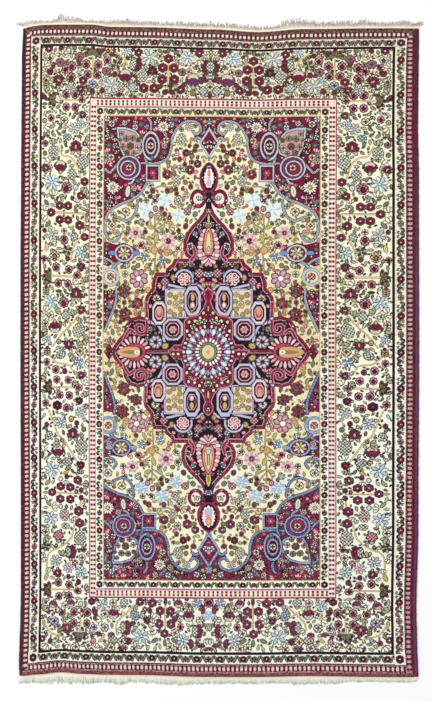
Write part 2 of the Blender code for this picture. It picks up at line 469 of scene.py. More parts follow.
def half_palmette(c, r):
    """A bloom seen half from the side: lobes on one half and scales on the other."""
    c.seen_from(0, -r * 0.75, 180).stamp(blade(r * 0.6, r * 0.4), r, edged("outline", "moss"))
    places = ((0.26, 0.54), (0.4, 0), (0.26, -0.54))
    lobes(c, r, places, 0.46, 5, 0.22, [(OUTSIDE, "outline"), (-0.2, "burgundy")])
    side = c.seen_from(-r * 0.36, 0)
    side.stamp(oval(r * 0.4, r * 0.8), r, [(OUTSIDE, "outline")])
    side.stamp(netted(oval(r * 0.4, r * 0.8), NET_PITCH), r, [(-0.2, "sand")])


def crown(c, r, dye="olive"):
    """The palm leaves that crown a stem, dark at their tips."""
    for turn in (-84, -45, 0, 45, 84):
        frond = c.seen_from(0, -r * 0.5, turn)
        frond.stamp(blade(r * 1.25, r * 0.5), r * 1.3, edged("outline", dye))
        frond.seen_from(0, r * 0.85).stamp(oval(r * 0.16, r * 0.24), r, [(0, "wine")])
        frond.seen_from(0, r * 0.4).stamp(block(0.25, r * 0.28), r, [(0, "outline")])


def branch(c, r, dye="moss"):
    """A little twig of leaves with a berry at its end."""
    c.stamp(block(0.35, r), r, [(0, "stem")])
    for i in range(3):
        for side in (-1, 1):
            foot = c.seen_from(0, r * (-0.7 + 0.5 * i), side * 55)
            foot.stamp(blade(r * 0.8, r * 0.4), r, edged("outline", dye))
    c.seen_from(0, r).stamp(disc(r * 0.24), r, [(OUTSIDE, "outline"), (0.1, "burgundy")])


def palmette(c, r):
    """A large bloom cut open: a fringe of petals around a body and a heart."""
    petals = 19
    for i in range(petals):
        turn = -160 + 320 * i / (petals - 1)
        foot = c.seen_from(0, r * 0.02, turn).seen_from(0, r * 0.46)
        foot.stamp(blade(r * 0.5, r * 0.19, 0.62), r, edged("wine", "pink" if i % 2 else "blush"))
    c.stamp(oval(r * 0.5, r * 0.6), r, [(OUTSIDE, "wine"), (0, "rose")])
    low = c.seen_from(0, -r * 0.16)
    for i in range(7):
        seed = low.seen_from(0, 0, -60 + 20 * i).seen_from(0, r * 0.5)
        seed.stamp(block(0.3, r * 0.13), r, [(0, "wine")])
    low.stamp(oval(r * 0.24, r * 0.26), r, [(OUTSIDE, "wine")])
    low.stamp(oval(r * 0.1, r * 0.12), r, [(0, "white")])


def tall_palmette(c, half_across, half_along):
    """A bloom like a flame: small petals up both sides, and a fan of longer ones at its foot."""
    for i in range(9):
        spoke = c.seen_from(0, -half_along * 0.42, 180 + (i - 4) * 24)
        petal = blade(half_along * 0.6, half_across * 0.36, 0.7)
        spoke.stamp(petal, half_along, edged("wine", "pink" if i % 2 else "blush"))
    for i in range(8):
        height = -0.42 + 0.19 * i
        width = math.sqrt(max(1 - (height * 0.94 + 0.18) ** 2, 0.02)) * 0.86
        layers = [(OUTSIDE, "wine"), (0, "pink" if i % 2 else "blush")]
        for side in (-1, 1):
            petal = c.seen_from(side * half_across * width, half_along * height)
            petal.stamp(oval(half_across * 0.2, half_along * 0.1), half_along, layers)
    flame = c.seen_from(0, -half_along * 0.5)
    flame.stamp(
        blade(half_along * 1.5, half_across * 1.2, 0.36), half_along * 1.5,
        [(0.4, "wine"), (-0.3, "rose"), (-1.1, "apricot"), (-2.3, "crimson"), (-3.0, "straw")],
    )
    for side in (-1, 0, 1):
        vein = flame.seen_from(side * half_across * 0.16, half_along * 0.7)
        vein.stamp(block(0.3, half_along * (0.5 - 0.15 * abs(side))), half_along, [(0, "crimson")])
    eye = c.seen_from(0, -half_along * 0.12)
    eye.stamp(oval(half_across * 0.26, half_along * 0.14), 5, [(OUTSIDE, "plum"), (0, "sky")])
    collar = c.seen_from(0, -half_along * 0.46)
    collar.stamp(oval(half_across * 0.5, 1.4), 6, [(0, "crimson"), (-0.9, "pink")])
    c.seen_from(0, -half_along * 0.58).stamp(disc(1.4), 3, [(OUTSIDE, "wine"), (0, "cream")])


def blossom(c, r):
    """A ragged full bloom, darker between its lobes."""
    places = ((-0.42, -0.34), (0.42, -0.34), (-0.5, 0.28), (0.5, 0.28), (0, 0.6), (0, -0.6))
    lobes(c, r, places, 0.4, 4, 0.35, edged("outline", "burgundy"))
    c.stamp(oval(r * 0.24, r * 0.3), r, [(0.5, "outline"), (-0.2, "burgundy")])
    for ray in rays(c, 5):
        dot(ray.seen_from(0, r * 0.5), "rose")


KINDS = {
    "burgundy rosette": rosette,
    "wine rosette": partial(rosette, petal="wine", heart="rose"),
    "mauve rosette": ring_rosette,
    "mauve star": partial(ring_rosette, petal="dusty", heart="white", edge="plum"),
    "small star": partial(ring_rosette, petal="cream", heart="sage", edge="night"),
    "lilac rosette": partial(ring_rosette, petal="lilac", heart="wine"),
    "pink rosette": partial(ring_rosette, petal="pink", heart="blush", edge="wine"),
    "grey rosette": partial(ring_rosette, petal="sand", heart="steel"),
    "open rosette": partial(ring_rosette, petal="cream"),
    "burgundy spokes": partial(ring_rosette, petal="crimson", heart="pink", edge="blush"),
    "white bud": partial(ring_rosette, petal="white", heart="sage", edge="steel"),
    "blossom": blossom,
    "cone": cone,
    "grey cone": partial(cone, light="sand", dye="steel"),
    "wine cone": partial(cone, light="pink", dye="wine"),
    "olive cone": partial(cone, light="cream", dye="olive"),
    "tulip": tulip,
    "plum tulip": partial(tulip, dye="plum"),
    "carnation": carnation,
    "wine carnation": partial(carnation, dye="wine", light="rose"),
    "net": net_oval,
    "sky net": partial(net_oval, light="sky"),
    "wine net": partial(net_oval, light="blush", dye="wine"),
    "dome": dome,
    "wine dome": partial(dome, dye="burgundy", light="pink"),
    "half palmette": half_palmette,
    "sky lily": partial(lily, tip="mist"),
    "blue lily": partial(lily, petal="blue", tip="mist"),
    "grey lily": partial(lily, petal="ribbon", tip="sand"),
    "lilac lily": partial(lily, petal="lilac", tip="blush", edge="plum"),
    "leaf lily": partial(lily, petal="pine", tip="moss"),
    "clear lily": partial(lily, tip="mist", edge="blue"),
    "faded lily": partial(lily, petal="mist", tip="sky", edge="mist"),
    "daisy": daisy,
    "mauve daisy": partial(
        daisy, petal="pink", heart="burgundy", edge="dusty", other="blush", eye=0.4, halo="blush"
    ),
    "fine daisy": partial(daisy, petal="cream", heart="gold", edge="wine", other="sand"),
    "leaf": leaf,
    "open leaf": partial(leaf, dye="ivory", edge="pine"),
    "grey leaf": partial(leaf, dye="sand", edge="shade"),
    "lime leaf": partial(leaf, dye="lime", edge="olive"),
    "dark leaf": partial(leaf, dye="pine"),
    "sage leaf": partial(leaf, dye="sage"),
    "pale leaf": partial(leaf, dye="sand"),
    "gold leaf": partial(leaf, dye="straw", edge="stem"),
    "sky leaf": partial(leaf, dye="sky", edge="plum"),
    "bud": bud,
    "olive bud": partial(bud, dye="olive"),
    "grey bud": partial(bud, dye="sand", edge="steel"),
    "gold bud": partial(bud, dye="gold"),
    "pink bud": partial(bud, dye="pink", edge="wine"),
    "apricot bud": partial(bud, dye="apricot", edge="stem"),
    "crown": crown,
    "green crown": partial(crown, dye="sage"),
    "branch": branch,
    "gold branch": partial(branch, dye="gold"),
    "sprig": sprig,
    "pale sprig": partial(sprig, dye="ivory", edge="shade"),
    "grey sprig": partial(sprig, dye="sand", edge="steel"),
    "wine sprig": partial(sprig, dye="burgundy"),
    "bright sprig": partial(sprig, dye="sand", edge="night"),
    "apricot sprig": partial(sprig, dye="apricot", edge="stem"),
    "pink sprig": partial(sprig, dye="blush", edge="rose"),
    "gold sprig": partial(sprig, dye="straw", edge="shade"),
}

# The dark outlines lie outside each flower's reach, so the flower itself is drawn a little smaller.
SPOT_SIZE = 0.92
# The flowers of the upper border are fuller. It ends at this height of the photograph.
UPPER_SPOT_SIZE = 1.06
UPPER_BORDER_FOOT = 97

# One flower or leaf: where the photograph shows it, its reach from its middle, and its turn clockwise.
Spot = collections.namedtuple("Spot", "x y reach turn", defaults=[0])


def paint(c, beds):
    """Paints a table of flowers. Each of its beds names a kind and the spots where it grows."""
    for kind, spots in beds:
        for spot in table(Spot, spots):
            size = UPPER_SPOT_SIZE if spot.y < UPPER_BORDER_FOOT else SPOT_SIZE
            KINDS[kind](c.at(spot.x, spot.y, spot.turn), spot.reach * size)


# ---------------------------------------------------------------------------- bands around the field

Band = collections.namedtuple("Band", "out up dye")

# Each band from the outside in, as the place of its outer edge at the sides and at the ends.
BANDS = table(Band, [
    (196.0, 324.0, "wine"), (195.2, 321.0, "shade"), (189.0, 313.6, "outline"), (188.3, 312.5, "ivory"),
    (178.7, 304.0, "night"), (176.2, 301.4, "ivory"), (124.3, 250.4, "crimson"),
    (123.3, 249.0, "blush"), (117.3, 241.8, "mauve"), (116.8, 240.6, "ivory"), (109.4, 233.1, "gold"),
    (108.4, 231.9, "cream"), (0.0, 0.0, "cream"),
])
# Places in that list.
OUTER_SQUARES = 1
OUTER_GUARD_LINE = 2
OUTER_GUARD = 3
OUTER_GUARD_FOOT = 4
WIDE_BORDER = 5
WIDE_BORDER_FOOT = 6
INNER_GUARD = 9
INNER_GUARD_FOOT = 10
FIELD = 11


def draw_bands(c, bands):
    """Fills each band up to the outer edge of the next one."""
    rows, columns = c.knots.shape
    out = (np.arange(columns) + 0.5) / KNOTS_PER_SQUARE
    up = (np.arange(rows) + 0.5) / KNOTS_PER_SQUARE - HALF_ALONG
    for outer, inner in zip(bands, bands[1:]):
        inside = (out[None, :] < outer.out) & (np.abs(up[:, None]) < outer.up)
        beyond = (out[None, :] >= inner.out) | (np.abs(up[:, None]) >= inner.up)
        c.knots[inside & beyond] = NUMBER[outer.dye]


# A row of squares or flowers along the sides and ends of a band: its middle line and its two pitches.
Row = collections.namedtuple("Row", "out up side_pitch end_pitch")


def band_runs(c, row):
    """The three runs of a band's middle line: each one's view, the places along it, and their step."""
    runs = []
    for view, length, pitch in (
        (c.seen_from(0, row.up, 90), row.out, row.end_pitch),
        (c.seen_from(0, -row.up, 90), row.out, row.end_pitch),
        (c.seen_from(row.out, -row.up), 2 * row.up, row.side_pitch),
    ):
        count = round(length / pitch)
        step = length / count
        runs.append((view, [(i + 0.5) * step for i in range(count)], step))
    return runs


# Sizes along a row of squares are shares of its step, and those across it shares of its half width.
BAR_SHARE = 0.22
SQUARE_SHARE = 0.25
SQUARE_MARGIN = 0.9
BEAD_LENGTH = 0.24
BEAD_WIDTH = 0.36
BEAD_PLACE = 0.6


def draw_checks(c, row, half_width, bar, bead, square):
    """Pale squares, and between each two of them a pair of dark beads."""
    for view, places, step in band_runs(c, row):
        for along in places:
            between_two = view.seen_from(0, along - step / 2)
            between_two.stamp(block(half_width, step * BAR_SHARE), 4, [(0, bar)])
            for side in (-1, 1):
                spot = between_two.seen_from(side * half_width * BEAD_PLACE, 0)
                spot.stamp(block(half_width * BEAD_WIDTH, step * BEAD_LENGTH), 2, [(0, bead)])
            spot = view.seen_from(0, along)
            spot.stamp(block(half_width - SQUARE_MARGIN, step * SQUARE_SHARE), 4, [(0, square)])


# Runs with flowers further apart than this have curls between them, the others slanting leaves.
CURL_PITCH = 28
# Where the curls and the leaves lie between two flowers, as shares of the step, and how the leaves slant.
CURLS = (-0.32, -0.18, 0.18, 0.32)
SLANTS = ((-0.34, 24), (-0.17, -24), (0.17, 24), (0.34, -24))
CLOSE_FLOWER_SIZE = 0.84


def curl(c, r, dye, edge):
    """A little leaf rolled up into most of a ring."""
    c.stamp(ring(r * 0.66, r * 0.24, -150, 120), r * 1.2, [(0.22, edge)])
    c.stamp(disc(r * 0.36), r, [(0, dye)])


def curls(view, along, step, r):
    for share in CURLS:
        side = 1 if share > 0 else -1
        curl(view.seen_from(side * r * 0.3, along + step * share, 90 * side), r * 0.9, "sage", "outline")
        curl(view.seen_from(-side * r * 0.66, along + step * share * 0.82, -60), r * 0.5, "sage", "shade")


def slips(view, along, step, r):
    """Slender slanting leaves."""
    length = r * 2.1
    for share, slant in SLANTS:
        start = view.seen_from(0, along + step * share, 90 + slant).seen_from(0, -length / 2)
        start.stamp(blade(length, length * 0.3), length, [(0.45, "pine"), (-0.4, "sage")])


def draw_guard(c, row, r):
    """Dark flowers and pale ones by turns, with curls or slanting leaves between them."""
    for view, places, step in band_runs(c, row):
        apart = step > CURL_PITCH
        size = r if apart else r * CLOSE_FLOWER_SIZE
        fill_between = curls if apart else slips
        for along in places:
            fill_between(view, along, step, r)
            cone(view.seen_from(0, along - step / 2), size, "dusty", "outline", "mauve")
            flower = view.seen_from(0, along)
            layers = [(0.5, "outline"), (-0.3, "wine"), (-1.2, "burgundy")]
            flower.stamp(scallop(size, 7, 0.12, tall=1.1), size * 1.2, layers)
            dot(flower, "blush")
    for end in (-row.up, row.up):
        corner = c.seen_from(row.out, end)
        corner.stamp(block(r * 1.5, r * 1.5), r * 2, [(0, "ivory")])
        rosette(corner, r * 1.1, "wine", "sand")


# ---------------------------------------------------------------------------- the wide border

# Stems and vines of the left side and of the ends, as the photograph shows them.
BORDER_STEMS = [
    [(57, 101), (78, 101)],
    [(57, 147), (62, 156), (70, 158), (76, 165), (80, 178)],
    [(52, 214), (84, 214)],
    [(84, 214), (83, 232), (74, 246), (70, 262)],
    [(48, 277.5), (80, 277.5)],
    [(78, 316), (70, 326), (60, 337), (52, 348)],
    [(70, 326), (66, 318)],
    [(47, 355), (56, 364), (68, 366), (72, 372)],
    [(50, 388.5), (77, 388.5)],
    [(48, 412), (53, 425), (58, 437), (63, 441), (68, 449), (76, 462)],
    [(56, 494.5), (80, 494.5)],
    [(80, 500), (79, 514), (73, 528)],
    [(73, 528), (71, 538), (65, 545), (59, 549), (48, 556), (46, 575)],
    [(50, 591), (73, 591)],
    [(53, 61), (60, 53), (68, 54)],
    [(92.5, 59), (92.5, 80)],
    [(115, 53), (124, 60), (127, 66)],
    [(168, 62), (168, 90)],
    [(189, 66), (193, 72), (200, 74), (206, 70)],
    [(46, 627), (52, 635), (66, 640)],
    [(80.6, 608), (80.6, 635)],
    [(134, 606), (126, 614), (118, 622), (116, 630)],
    [(122, 612), (130, 618)],
    [(165.6, 601), (165.6, 631)],
    [(178, 608), (186, 606), (193, 622), (197, 631)],
]

# The border's flowers, kind by kind, in an order that keeps the right one on top where two overlap.
BORDER_FLOWERS = [
    ("open rosette", [
        (64, 121.5, 5), (63.5, 232, 3.6), (44.5, 325, 4), (79, 352, 5.4), (45, 533.5, 4.6),
        (81.5, 558.5, 4.4), (113, 603.5, 4.4),
    ]),
    ("dome", [
        (73.5, 237.5, 5.2, 20), (65, 316.5, 6, 180), (132.5, 88, 6), (203, 90.5, 5.6), (124, 603.5, 5.6),
    ]),
    ("grey bud", [(75, 188, 3), (60, 480.5, 2.4), (60, 508, 2.4), (80.6, 605, 2.8)]),
    ("gold bud", [(44.5, 122.5, 2.5), (58, 343, 2.6), (70.5, 420, 3)]),
    ("olive cone", [(54, 257, 6), (107.5, 51.5, 4.2), (212, 53, 4.4)]),
    ("lilac rosette", [(92.3, 85.5, 4.6), (54.5, 623, 5.4), (94.5, 628.5, 4)]),
    ("branch", [(46, 86, 4), (45.5, 293, 5)]),
    ("sky net", [(67, 138, 4.6, 90), (135, 616, 6, -30)]),
    ("gold leaf", [(46, 249, 8, 10), (102, 641, 7, 60)]),
    ("dark leaf", [(58, 292.5, 6, 90), (165.6, 602, 7)]),
    ("blue lily", [(77.5, 362.5, 6), (197.5, 603.5, 6)]),
    ("wine rosette", [(56.5, 407, 5), (91.5, 602.5, 3.8)]),
    ("pink rosette", [(74.5, 563.5, 3.6), (145, 610, 3)]),
    ("grey cone", [(50, 60, 3.4)]),
    ("gold branch", [(46.5, 353.5, 5)]),
    ("wine dome", [(57.7, 537.5, 7)]),
    ("lilac lily", [(68, 569, 6)]),
    ("green crown", [(80.6, 638.5, 7, 180)]),
    ("grey rosette", [(105, 628.5, 5.2)]),
    ("pink bud", [(94, 642, 2.8)]),
    ("clear lily", [(208, 615.5, 5)]),
    ("grey sprig", [(208, 640, 4.6, 180)]),
    ("burgundy rosette", [
        (49, 51, 3.6), (83, 82, 4), (84.5, 144, 2.8), (84, 182, 4.4), (80.5, 196, 4.4), (59, 206.8, 4.4),
        (67.5, 206.8, 4.4), (59, 221, 4.4), (67.5, 221, 4.4), (50.5, 214, 4.4), (79, 226, 4.8),
        (84, 237.5, 4), (77, 481, 4.6), (60, 488, 4.5), (69.6, 488.5, 4.5), (59.5, 500.5, 4.5),
        (69.6, 500.5, 4.5), (51.4, 494, 4.2), (78, 512, 5.2), (79, 524, 4.8), (138, 53.5, 4),
        (143.5, 88.5, 4.6), (154, 88.5, 4.6), (162.3, 68, 4.6), (173.6, 68, 4.6), (161.8, 79.5, 4.6),
        (174, 79.5, 4.6), (180.5, 89.5, 4), (43, 640, 3.4), (140, 602.5, 4.4), (152.5, 603.5, 4.6),
        (160.3, 611.5, 4.8), (170.8, 611.5, 4.8), (159.5, 624.2, 4.8), (171.4, 624.4, 4.8),
        (165.2, 634, 4.4),
    ]),
    ("mauve rosette", [(60, 64.5, 5), (79, 59, 5), (45, 145, 3.8), (106, 72, 4.8), (182, 72, 4.4)]),
    ("crown", [
        (51, 101, 7, -90), (46, 277.5, 7, -90), (46.5, 388.5, 7, -90), (46, 591, 7, -90), (92.5, 53, 7),
    ]),
    ("sage leaf", [
        (46, 204, 7, -40), (47.5, 225.5, 8, 215), (86, 58, 5, 60), (99, 58, 5, -60), (160, 52, 6, -50),
        (168, 50.5, 6), (176, 52.5, 6, 50), (155.5, 641, 8, 60), (165.6, 643, 7), (175.5, 641, 8, -60),
    ]),
    ("lime leaf", [(82, 283, 6, 130), (65, 474, 7, 60), (45, 494, 5, -90), (46, 578, 8, 20), (44, 624, 6)]),
    ("half palmette", [
        (70, 553, 7.5), (135.5, 65, 7.4, 10), (206.5, 66, 6.6, 180), (125.6, 628.5, 7.6), (198, 631, 7.4),
    ]),
    ("wine cone", [(66, 71, 4.5, 40), (55, 371, 4.6), (107, 61, 4.2), (181, 627, 4.2)]),
    ("leaf lily", [(66.5, 251.5, 6), (45.5, 548, 5.5), (116, 65, 5.6)]),
    ("cone", [
        (71.5, 68, 5), (71, 79, 5), (66, 95.2, 4.4), (75, 95.2, 4.4), (66, 108, 4.6), (75, 108, 4.6),
        (82, 101, 4, 90), (51, 119.5, 4.2), (66, 188.5, 6.6, 20), (63.5, 241, 5.2, 180), (43.5, 260, 3.4),
        (55.5, 268.5, 4.8), (68, 270.5, 4.6), (57.5, 284.5, 4.6), (67, 285, 4.6), (63, 303.5, 6),
        (46, 363.5, 4), (56, 381, 4.4), (67.5, 381, 4.4), (59, 396.5, 4.6), (68.5, 396.5, 4.6),
        (78, 388.5, 4.4, 90), (45, 404.5, 4.2), (66, 409, 4.8, 30), (83, 550, 3.6), (58, 584, 4.6),
        (68.5, 586, 4.4), (58.5, 598, 4.4), (68.5, 597, 4.4), (77.5, 592, 4.2, 90), (86, 66, 4.6),
        (98, 66, 4.6), (87.5, 76, 4.4), (97, 76, 4.4), (62, 614, 4.6), (74, 613.5, 4.8), (87.4, 613.5, 4.8),
        (87, 624.5, 4.6), (208, 602.5, 5),
    ]),
    ("plum tulip", [(193, 79.5, 7.4, 180), (53, 606, 4.6, 20), (70.5, 605, 4.6), (178.5, 604, 4.8)]),
    ("olive bud", [
        (74, 50.5, 2.2), (45, 135.5, 2.3), (44.5, 155, 2.3), (83, 430, 2.6), (192.5, 92.5, 3),
        (60, 633, 2.6),
    ]),
    ("bud", [
        (61, 51, 2.4), (50, 73, 3.4), (72, 199, 2.2), (67, 259.5, 2.6), (64, 372.5, 2.8), (76, 424, 2.6),
        (46, 426, 2.4), (66, 478, 2.4), (80.5, 491, 2.6), (80.5, 498.5, 2.6), (78, 583, 2.8),
        (68, 578, 2.4), (92, 92.5, 2.6), (114.5, 75, 2.6), (165, 92, 2.8, 60), (171.5, 92, 2.8, -60),
        (48.5, 613, 2.4), (51, 643, 2.6), (95.5, 619, 2.6), (187, 598.5, 2.6),
    ]),
    ("tulip", [
        (60, 167, 7, 180), (54, 329, 6.8), (57, 452, 7.2, 180), (125, 76, 7, 180), (113.5, 615, 6.4),
        (189, 616.5, 6.4),
    ]),
    ("sky lily", [
        (51.5, 184, 8.5), (80.5, 253, 7.2), (50.5, 303, 8), (45.5, 340, 5), (60, 424, 6.6), (51, 471, 8.6),
        (50, 520, 8), (80.5, 572.5, 6.4), (103.5, 80.5, 4.4), (126, 53, 5), (187.5, 57, 7), (102, 606, 6.4),
        (142, 637, 8.4), (183.5, 640, 7),
    ]),
    ("leaf", [
        (58, 108, 6, 50), (85.5, 94, 5), (52, 128, 7, 60), (53, 136, 6, -50), (61, 197, 6, 70),
        (75.5, 207, 5, 40), (86.5, 256, 6), (47, 484, 7, 45), (48, 505, 7, 135), (60, 644, 5, 90),
        (208, 627, 8),
    ]),
    ("carnation", [
        (59, 82, 6.5, -60), (82, 115.5, 4.8, 90), (75.5, 148, 8), (45.5, 170, 5.5, -30), (75.5, 295, 8),
        (80, 310.5, 5.4, 90), (68, 345, 6.6, 180), (80, 376, 5, 90), (72, 435.5, 7.5),
        (57, 574.5, 5.4, 150), (80, 90.5, 4.8, 60), (67.5, 629.5, 7.4, 180),
    ]),
    ("net", [
        (53, 153, 6.6), (82.5, 162, 8, 10), (71.5, 175, 6), (78, 331, 8, 20), (60, 356, 5.6, 60),
        (48, 437, 5, 30), (80.5, 447.5, 8.4), (66.5, 463, 5.6, 90), (65, 527.5, 4.4, 90), (79.5, 539, 8),
        (141.5, 76, 6.6), (212.5, 77, 5.8), (113.5, 641, 5.2, 90),
    ]),
    ("grey lily", [
        (73.5, 129, 6.5), (51.5, 235.5, 7.5), (80, 413, 6.6), (55.5, 562.5, 6.6), (70, 90, 4.5),
        (110.5, 86, 7.5), (149, 57.5, 8.5),
    ]),
    ("wine carnation", [
        (80, 267.5, 5.5, 60), (78, 401.5, 5, 60), (79.5, 466, 5.4, 60), (152, 72, 6),
        (147.5, 620.5, 5, 180), (129, 642, 4.4, 90),
    ]),
    ("bud", [(44, 232, 2.2), (102, 91, 2.6)]),
    ("cone", [(76.5, 276, 4.4, 90), (74, 624.5, 4.6)]),
    ("wine net", [(64, 516.5, 6.6), (121, 88, 4.4)]),
    ("burgundy rosette", [(168, 58.8, 4.4), (199, 52.5, 4.4)]),
    ("sky lily", [(80.5, 125, 5, 30)]),
]


def draw_border(c):
    """The stems and flowers of the wide border."""
    for points in BORDER_STEMS:
        c.line(points, 0.8, "straw", edge="stem", edge_width=0.5)
    paint(c, BORDER_FLOWERS)


# ---------------------------------------------------------------------------- the field

# The lower half of the field repeats the upper one, a little shorter and a little wider.
FOLD = 352.0
FOLD_SPAN = 170.0
FOLD_SHORTER = 0.055
FOLD_SHIFT = 2.0
FOLD_WIDER = 0.035

SPANDREL = [
    (98, 98), (213, 98), (213, 152), (211, 157), (204, 147), (201.5, 140), (195, 139), (193.5, 134),
    (198, 132), (200.5, 127), (197, 121.5), (190, 119.5), (181, 122), (175, 129), (172, 142), (168, 157),
    (160, 163), (157.5, 167), (158, 179), (147, 181), (141, 192), (132, 199), (120, 204), (109, 211),
    (104.5, 222), (100, 224),
]
EYE_GROUND = [
    (101, 243), (106, 242), (115, 245), (124, 243), (134, 248), (139, 253), (132, 258), (124, 263),
    (114, 262), (108, 266), (101, 264),
]
SIDE_WEDGE = [(101, 289), (108, 291), (115.5, 290), (114, 303), (110, 316), (104, 330), (101, 332)]

RIBBONS = [
    [(147, 181), (141, 192), (132, 199), (120, 204), (109, 211), (104.8, 221), (105, 233), (109, 240)],
    [(109, 240), (115, 241), (119, 236), (117, 231)],
    [(122, 157), (133, 162), (145, 163), (157, 163), (167, 158), (171, 148), (172, 138), (176, 129)],
    [(176, 129), (183, 122.5), (192, 120.5), (199, 124), (200.5, 130), (196, 134), (193, 131)],
    [(143, 150), (145, 158), (147, 166), (147, 180)],
    [(148, 134), (151, 128), (150.5, 122), (148, 118)],
    [(117, 164), (112, 170), (109, 172.5), (105, 169)],
    [(115.5, 289), (115.8, 298), (113, 309), (108, 321), (104, 331)],
    [(104, 258), (111, 262), (116, 270), (116, 280)],
    [(137, 250), (130, 259), (119, 262), (112, 268)],
    [(202.5, 140), (198, 137), (194.5, 139.5)],
    [(117, 217), (126, 220.5), (133, 216), (136.5, 208), (137.5, 200)],
    [(113, 129), (120, 129), (128, 131)],
]

# Small blooms inside the leaf of the spandrel: place, reach and dye.
LEAF_BLOOMS = [
    (126, 138.5, 3.6, "sage"), (132.5, 138, 3.4, "sage"), (121.5, 133.5, 2.6, "sky"),
    (130, 146, 4.2, "burgundy"), (137.5, 147.5, 3.2, "sand"), (122.5, 146.5, 3.0, "pink"),
    (126.5, 152.5, 3.2, "burgundy"), (138, 140, 2.6, "burgundy"), (133.5, 153, 2.8, "pink"),
    (119.5, 140, 2.4, "sand"),
]
LEAF_CARTOUCHE = [
    (116.5, 127.5), (126, 127.5), (135, 130.5), (141, 137), (143.5, 146), (141, 153.5), (133, 157.5),
    (124, 157.5), (119.5, 148), (117.5, 138),
]

SPANDREL_FLOWERS = [
    ("white bud", [
        (140.8, 124.3, 2.6), (111, 136, 2.8, 40), (108.5, 145, 2.4), (107.5, 202, 2.6),
        (176, 119.5, 2.2, 60), (152, 157.5, 2.4, 60), (164, 152, 2.4, -40), (137, 181, 2.4),
        (204, 128, 1.8), (107, 313, 1.9), (108, 302, 2.2), (106, 249, 1.8),
    ]),
    ("open rosette", [
        (110.7, 157, 4.2), (165.8, 140, 4), (141, 137, 2.4), (176.5, 150, 2.6), (125.5, 211.5, 5.2),
        (111.5, 225.5, 5),
    ]),
    ("grey rosette", [(181.5, 129, 3), (133, 206, 3.4), (113, 214.5, 3.6), (109, 233, 2.8)]),
    ("daisy", [(163.2, 126.5, 6.5), (124.4, 123, 3.2), (112.4, 187, 7.4)]),
    ("pink bud", [(119, 197, 2.2), (185, 118, 2), (109, 296, 1.8)]),
    ("small star", [(111.5, 123.8, 4.2)]),
    ("pale leaf", [(127.5, 191, 12, 8)]),
    ("gold bud", [(205, 121, 2.2, 60)]),
    ("net", [(181, 139, 6.4, 12)]),
    ("grey lily", [(189, 126.5, 4.6)]),
    ("pink rosette", [(110, 276.5, 4.2)]),
]

FIELD_STEMS = [
    [(154, 272), (155, 258), (155, 244), (154.5, 228), (155, 214)],
    [(154.5, 230), (150, 222), (150.5, 216)],
    [(155, 226), (161, 218), (161.5, 211)],
    [(156, 229), (165, 223), (169, 218)],
    [(155, 246), (148, 240), (137, 236)],
    [(156, 250), (162, 246), (168, 242)],
    [(150, 190), (160, 186), (170, 187), (180, 183)],
    [(187, 232), (183, 240), (178, 250), (176, 257)],
]

# The lilies of the field have faded above the middle, and kept their blue below it: place and reach.
FIELD_LILIES = [(165, 200, 8.4), (145, 209.5, 7.4), (178, 215.5, 7.6)]
FIELD_FLOWERS = [
    ("bud", [
        (179.5, 159, 2.6), (167, 190.6, 2.8), (152.4, 190.6, 3), (190.7, 186.3, 2.8), (196, 146, 3, 60),
        (189.5, 145.5, 2), (185.5, 226, 3, 20), (161.5, 208.5, 2.6), (164.5, 213.8, 2.6),
        (169.5, 217.2, 2.4), (131, 200, 2.2),
    ]),
    ("lime leaf", [
        (150, 227, 7, -60), (162, 227, 7, 60), (156, 238, 9, 20), (151, 250, 8, -40), (146, 266, 7, 30),
    ]),
    ("sage leaf", [(112, 332, 7, -10), (109, 340, 7, 10), (183, 177, 5, 40), (195, 177, 5, 10)]),
    ("blossom", [(123.6, 291, 8.2, -5), (137, 303.3, 7, 50), (124.4, 314.5, 8, 10)]),
    ("burgundy rosette", [(167, 174.2, 5.2), (189.9, 169.5, 5), (197.6, 163.5, 4.2)]),
    ("net", [(178, 200, 5.4, 20), (176, 180, 6), (186, 195, 4, 40)]),
    ("leaf", [
        (115, 322, 7, 10), (118, 330, 6, 30), (172, 168, 5, -20), (170, 183, 5, 70), (182, 205, 5, 60),
        (191, 221, 5, 30),
    ]),
    ("olive cone", [(126, 233, 3.4), (178, 248, 4, 40), (154, 284, 3.6)]),
    ("mauve daisy", [(168, 241, 8.6), (135.2, 232.7, 7)]),
    ("grey rosette", [
        (180.5, 168, 4.4), (146, 200, 3.4), (162, 232, 3.4), (128, 222, 3.4), (124.5, 274, 4),
    ]),
    ("blue lily", [(162, 261, 5.4), (143.5, 257, 5)]),
    ("olive bud", [(195, 214, 2.8, 30), (117, 283, 3)]),
    ("pink bud", [(150.7, 214.7, 2.8), (155.4, 208.5, 2.8)]),
    ("apricot bud", [(154, 250, 4), (148, 290, 3)]),
    ("dome", [(141, 222, 4.4, -20), (126, 265, 4.4, 40)]),
    ("dark leaf", [(139, 314, 7, 10), (130, 306, 5, 60)]),
    ("mauve star", [(138.2, 278.4, 9.6)]),
    ("grey cone", [(155, 200, 3.6, 40), (180, 237, 4.4, 20), (117, 300, 4, 10), (142, 290, 3.6)]),
    ("wine rosette", [(186, 152.5, 4)]),
    ("pink rosette", [(187.3, 211.2, 4.6)]),
    ("wine cone", [(141, 245, 4.2, 70)]),
    ("gold bud", [(170, 252, 2.6)]),
]

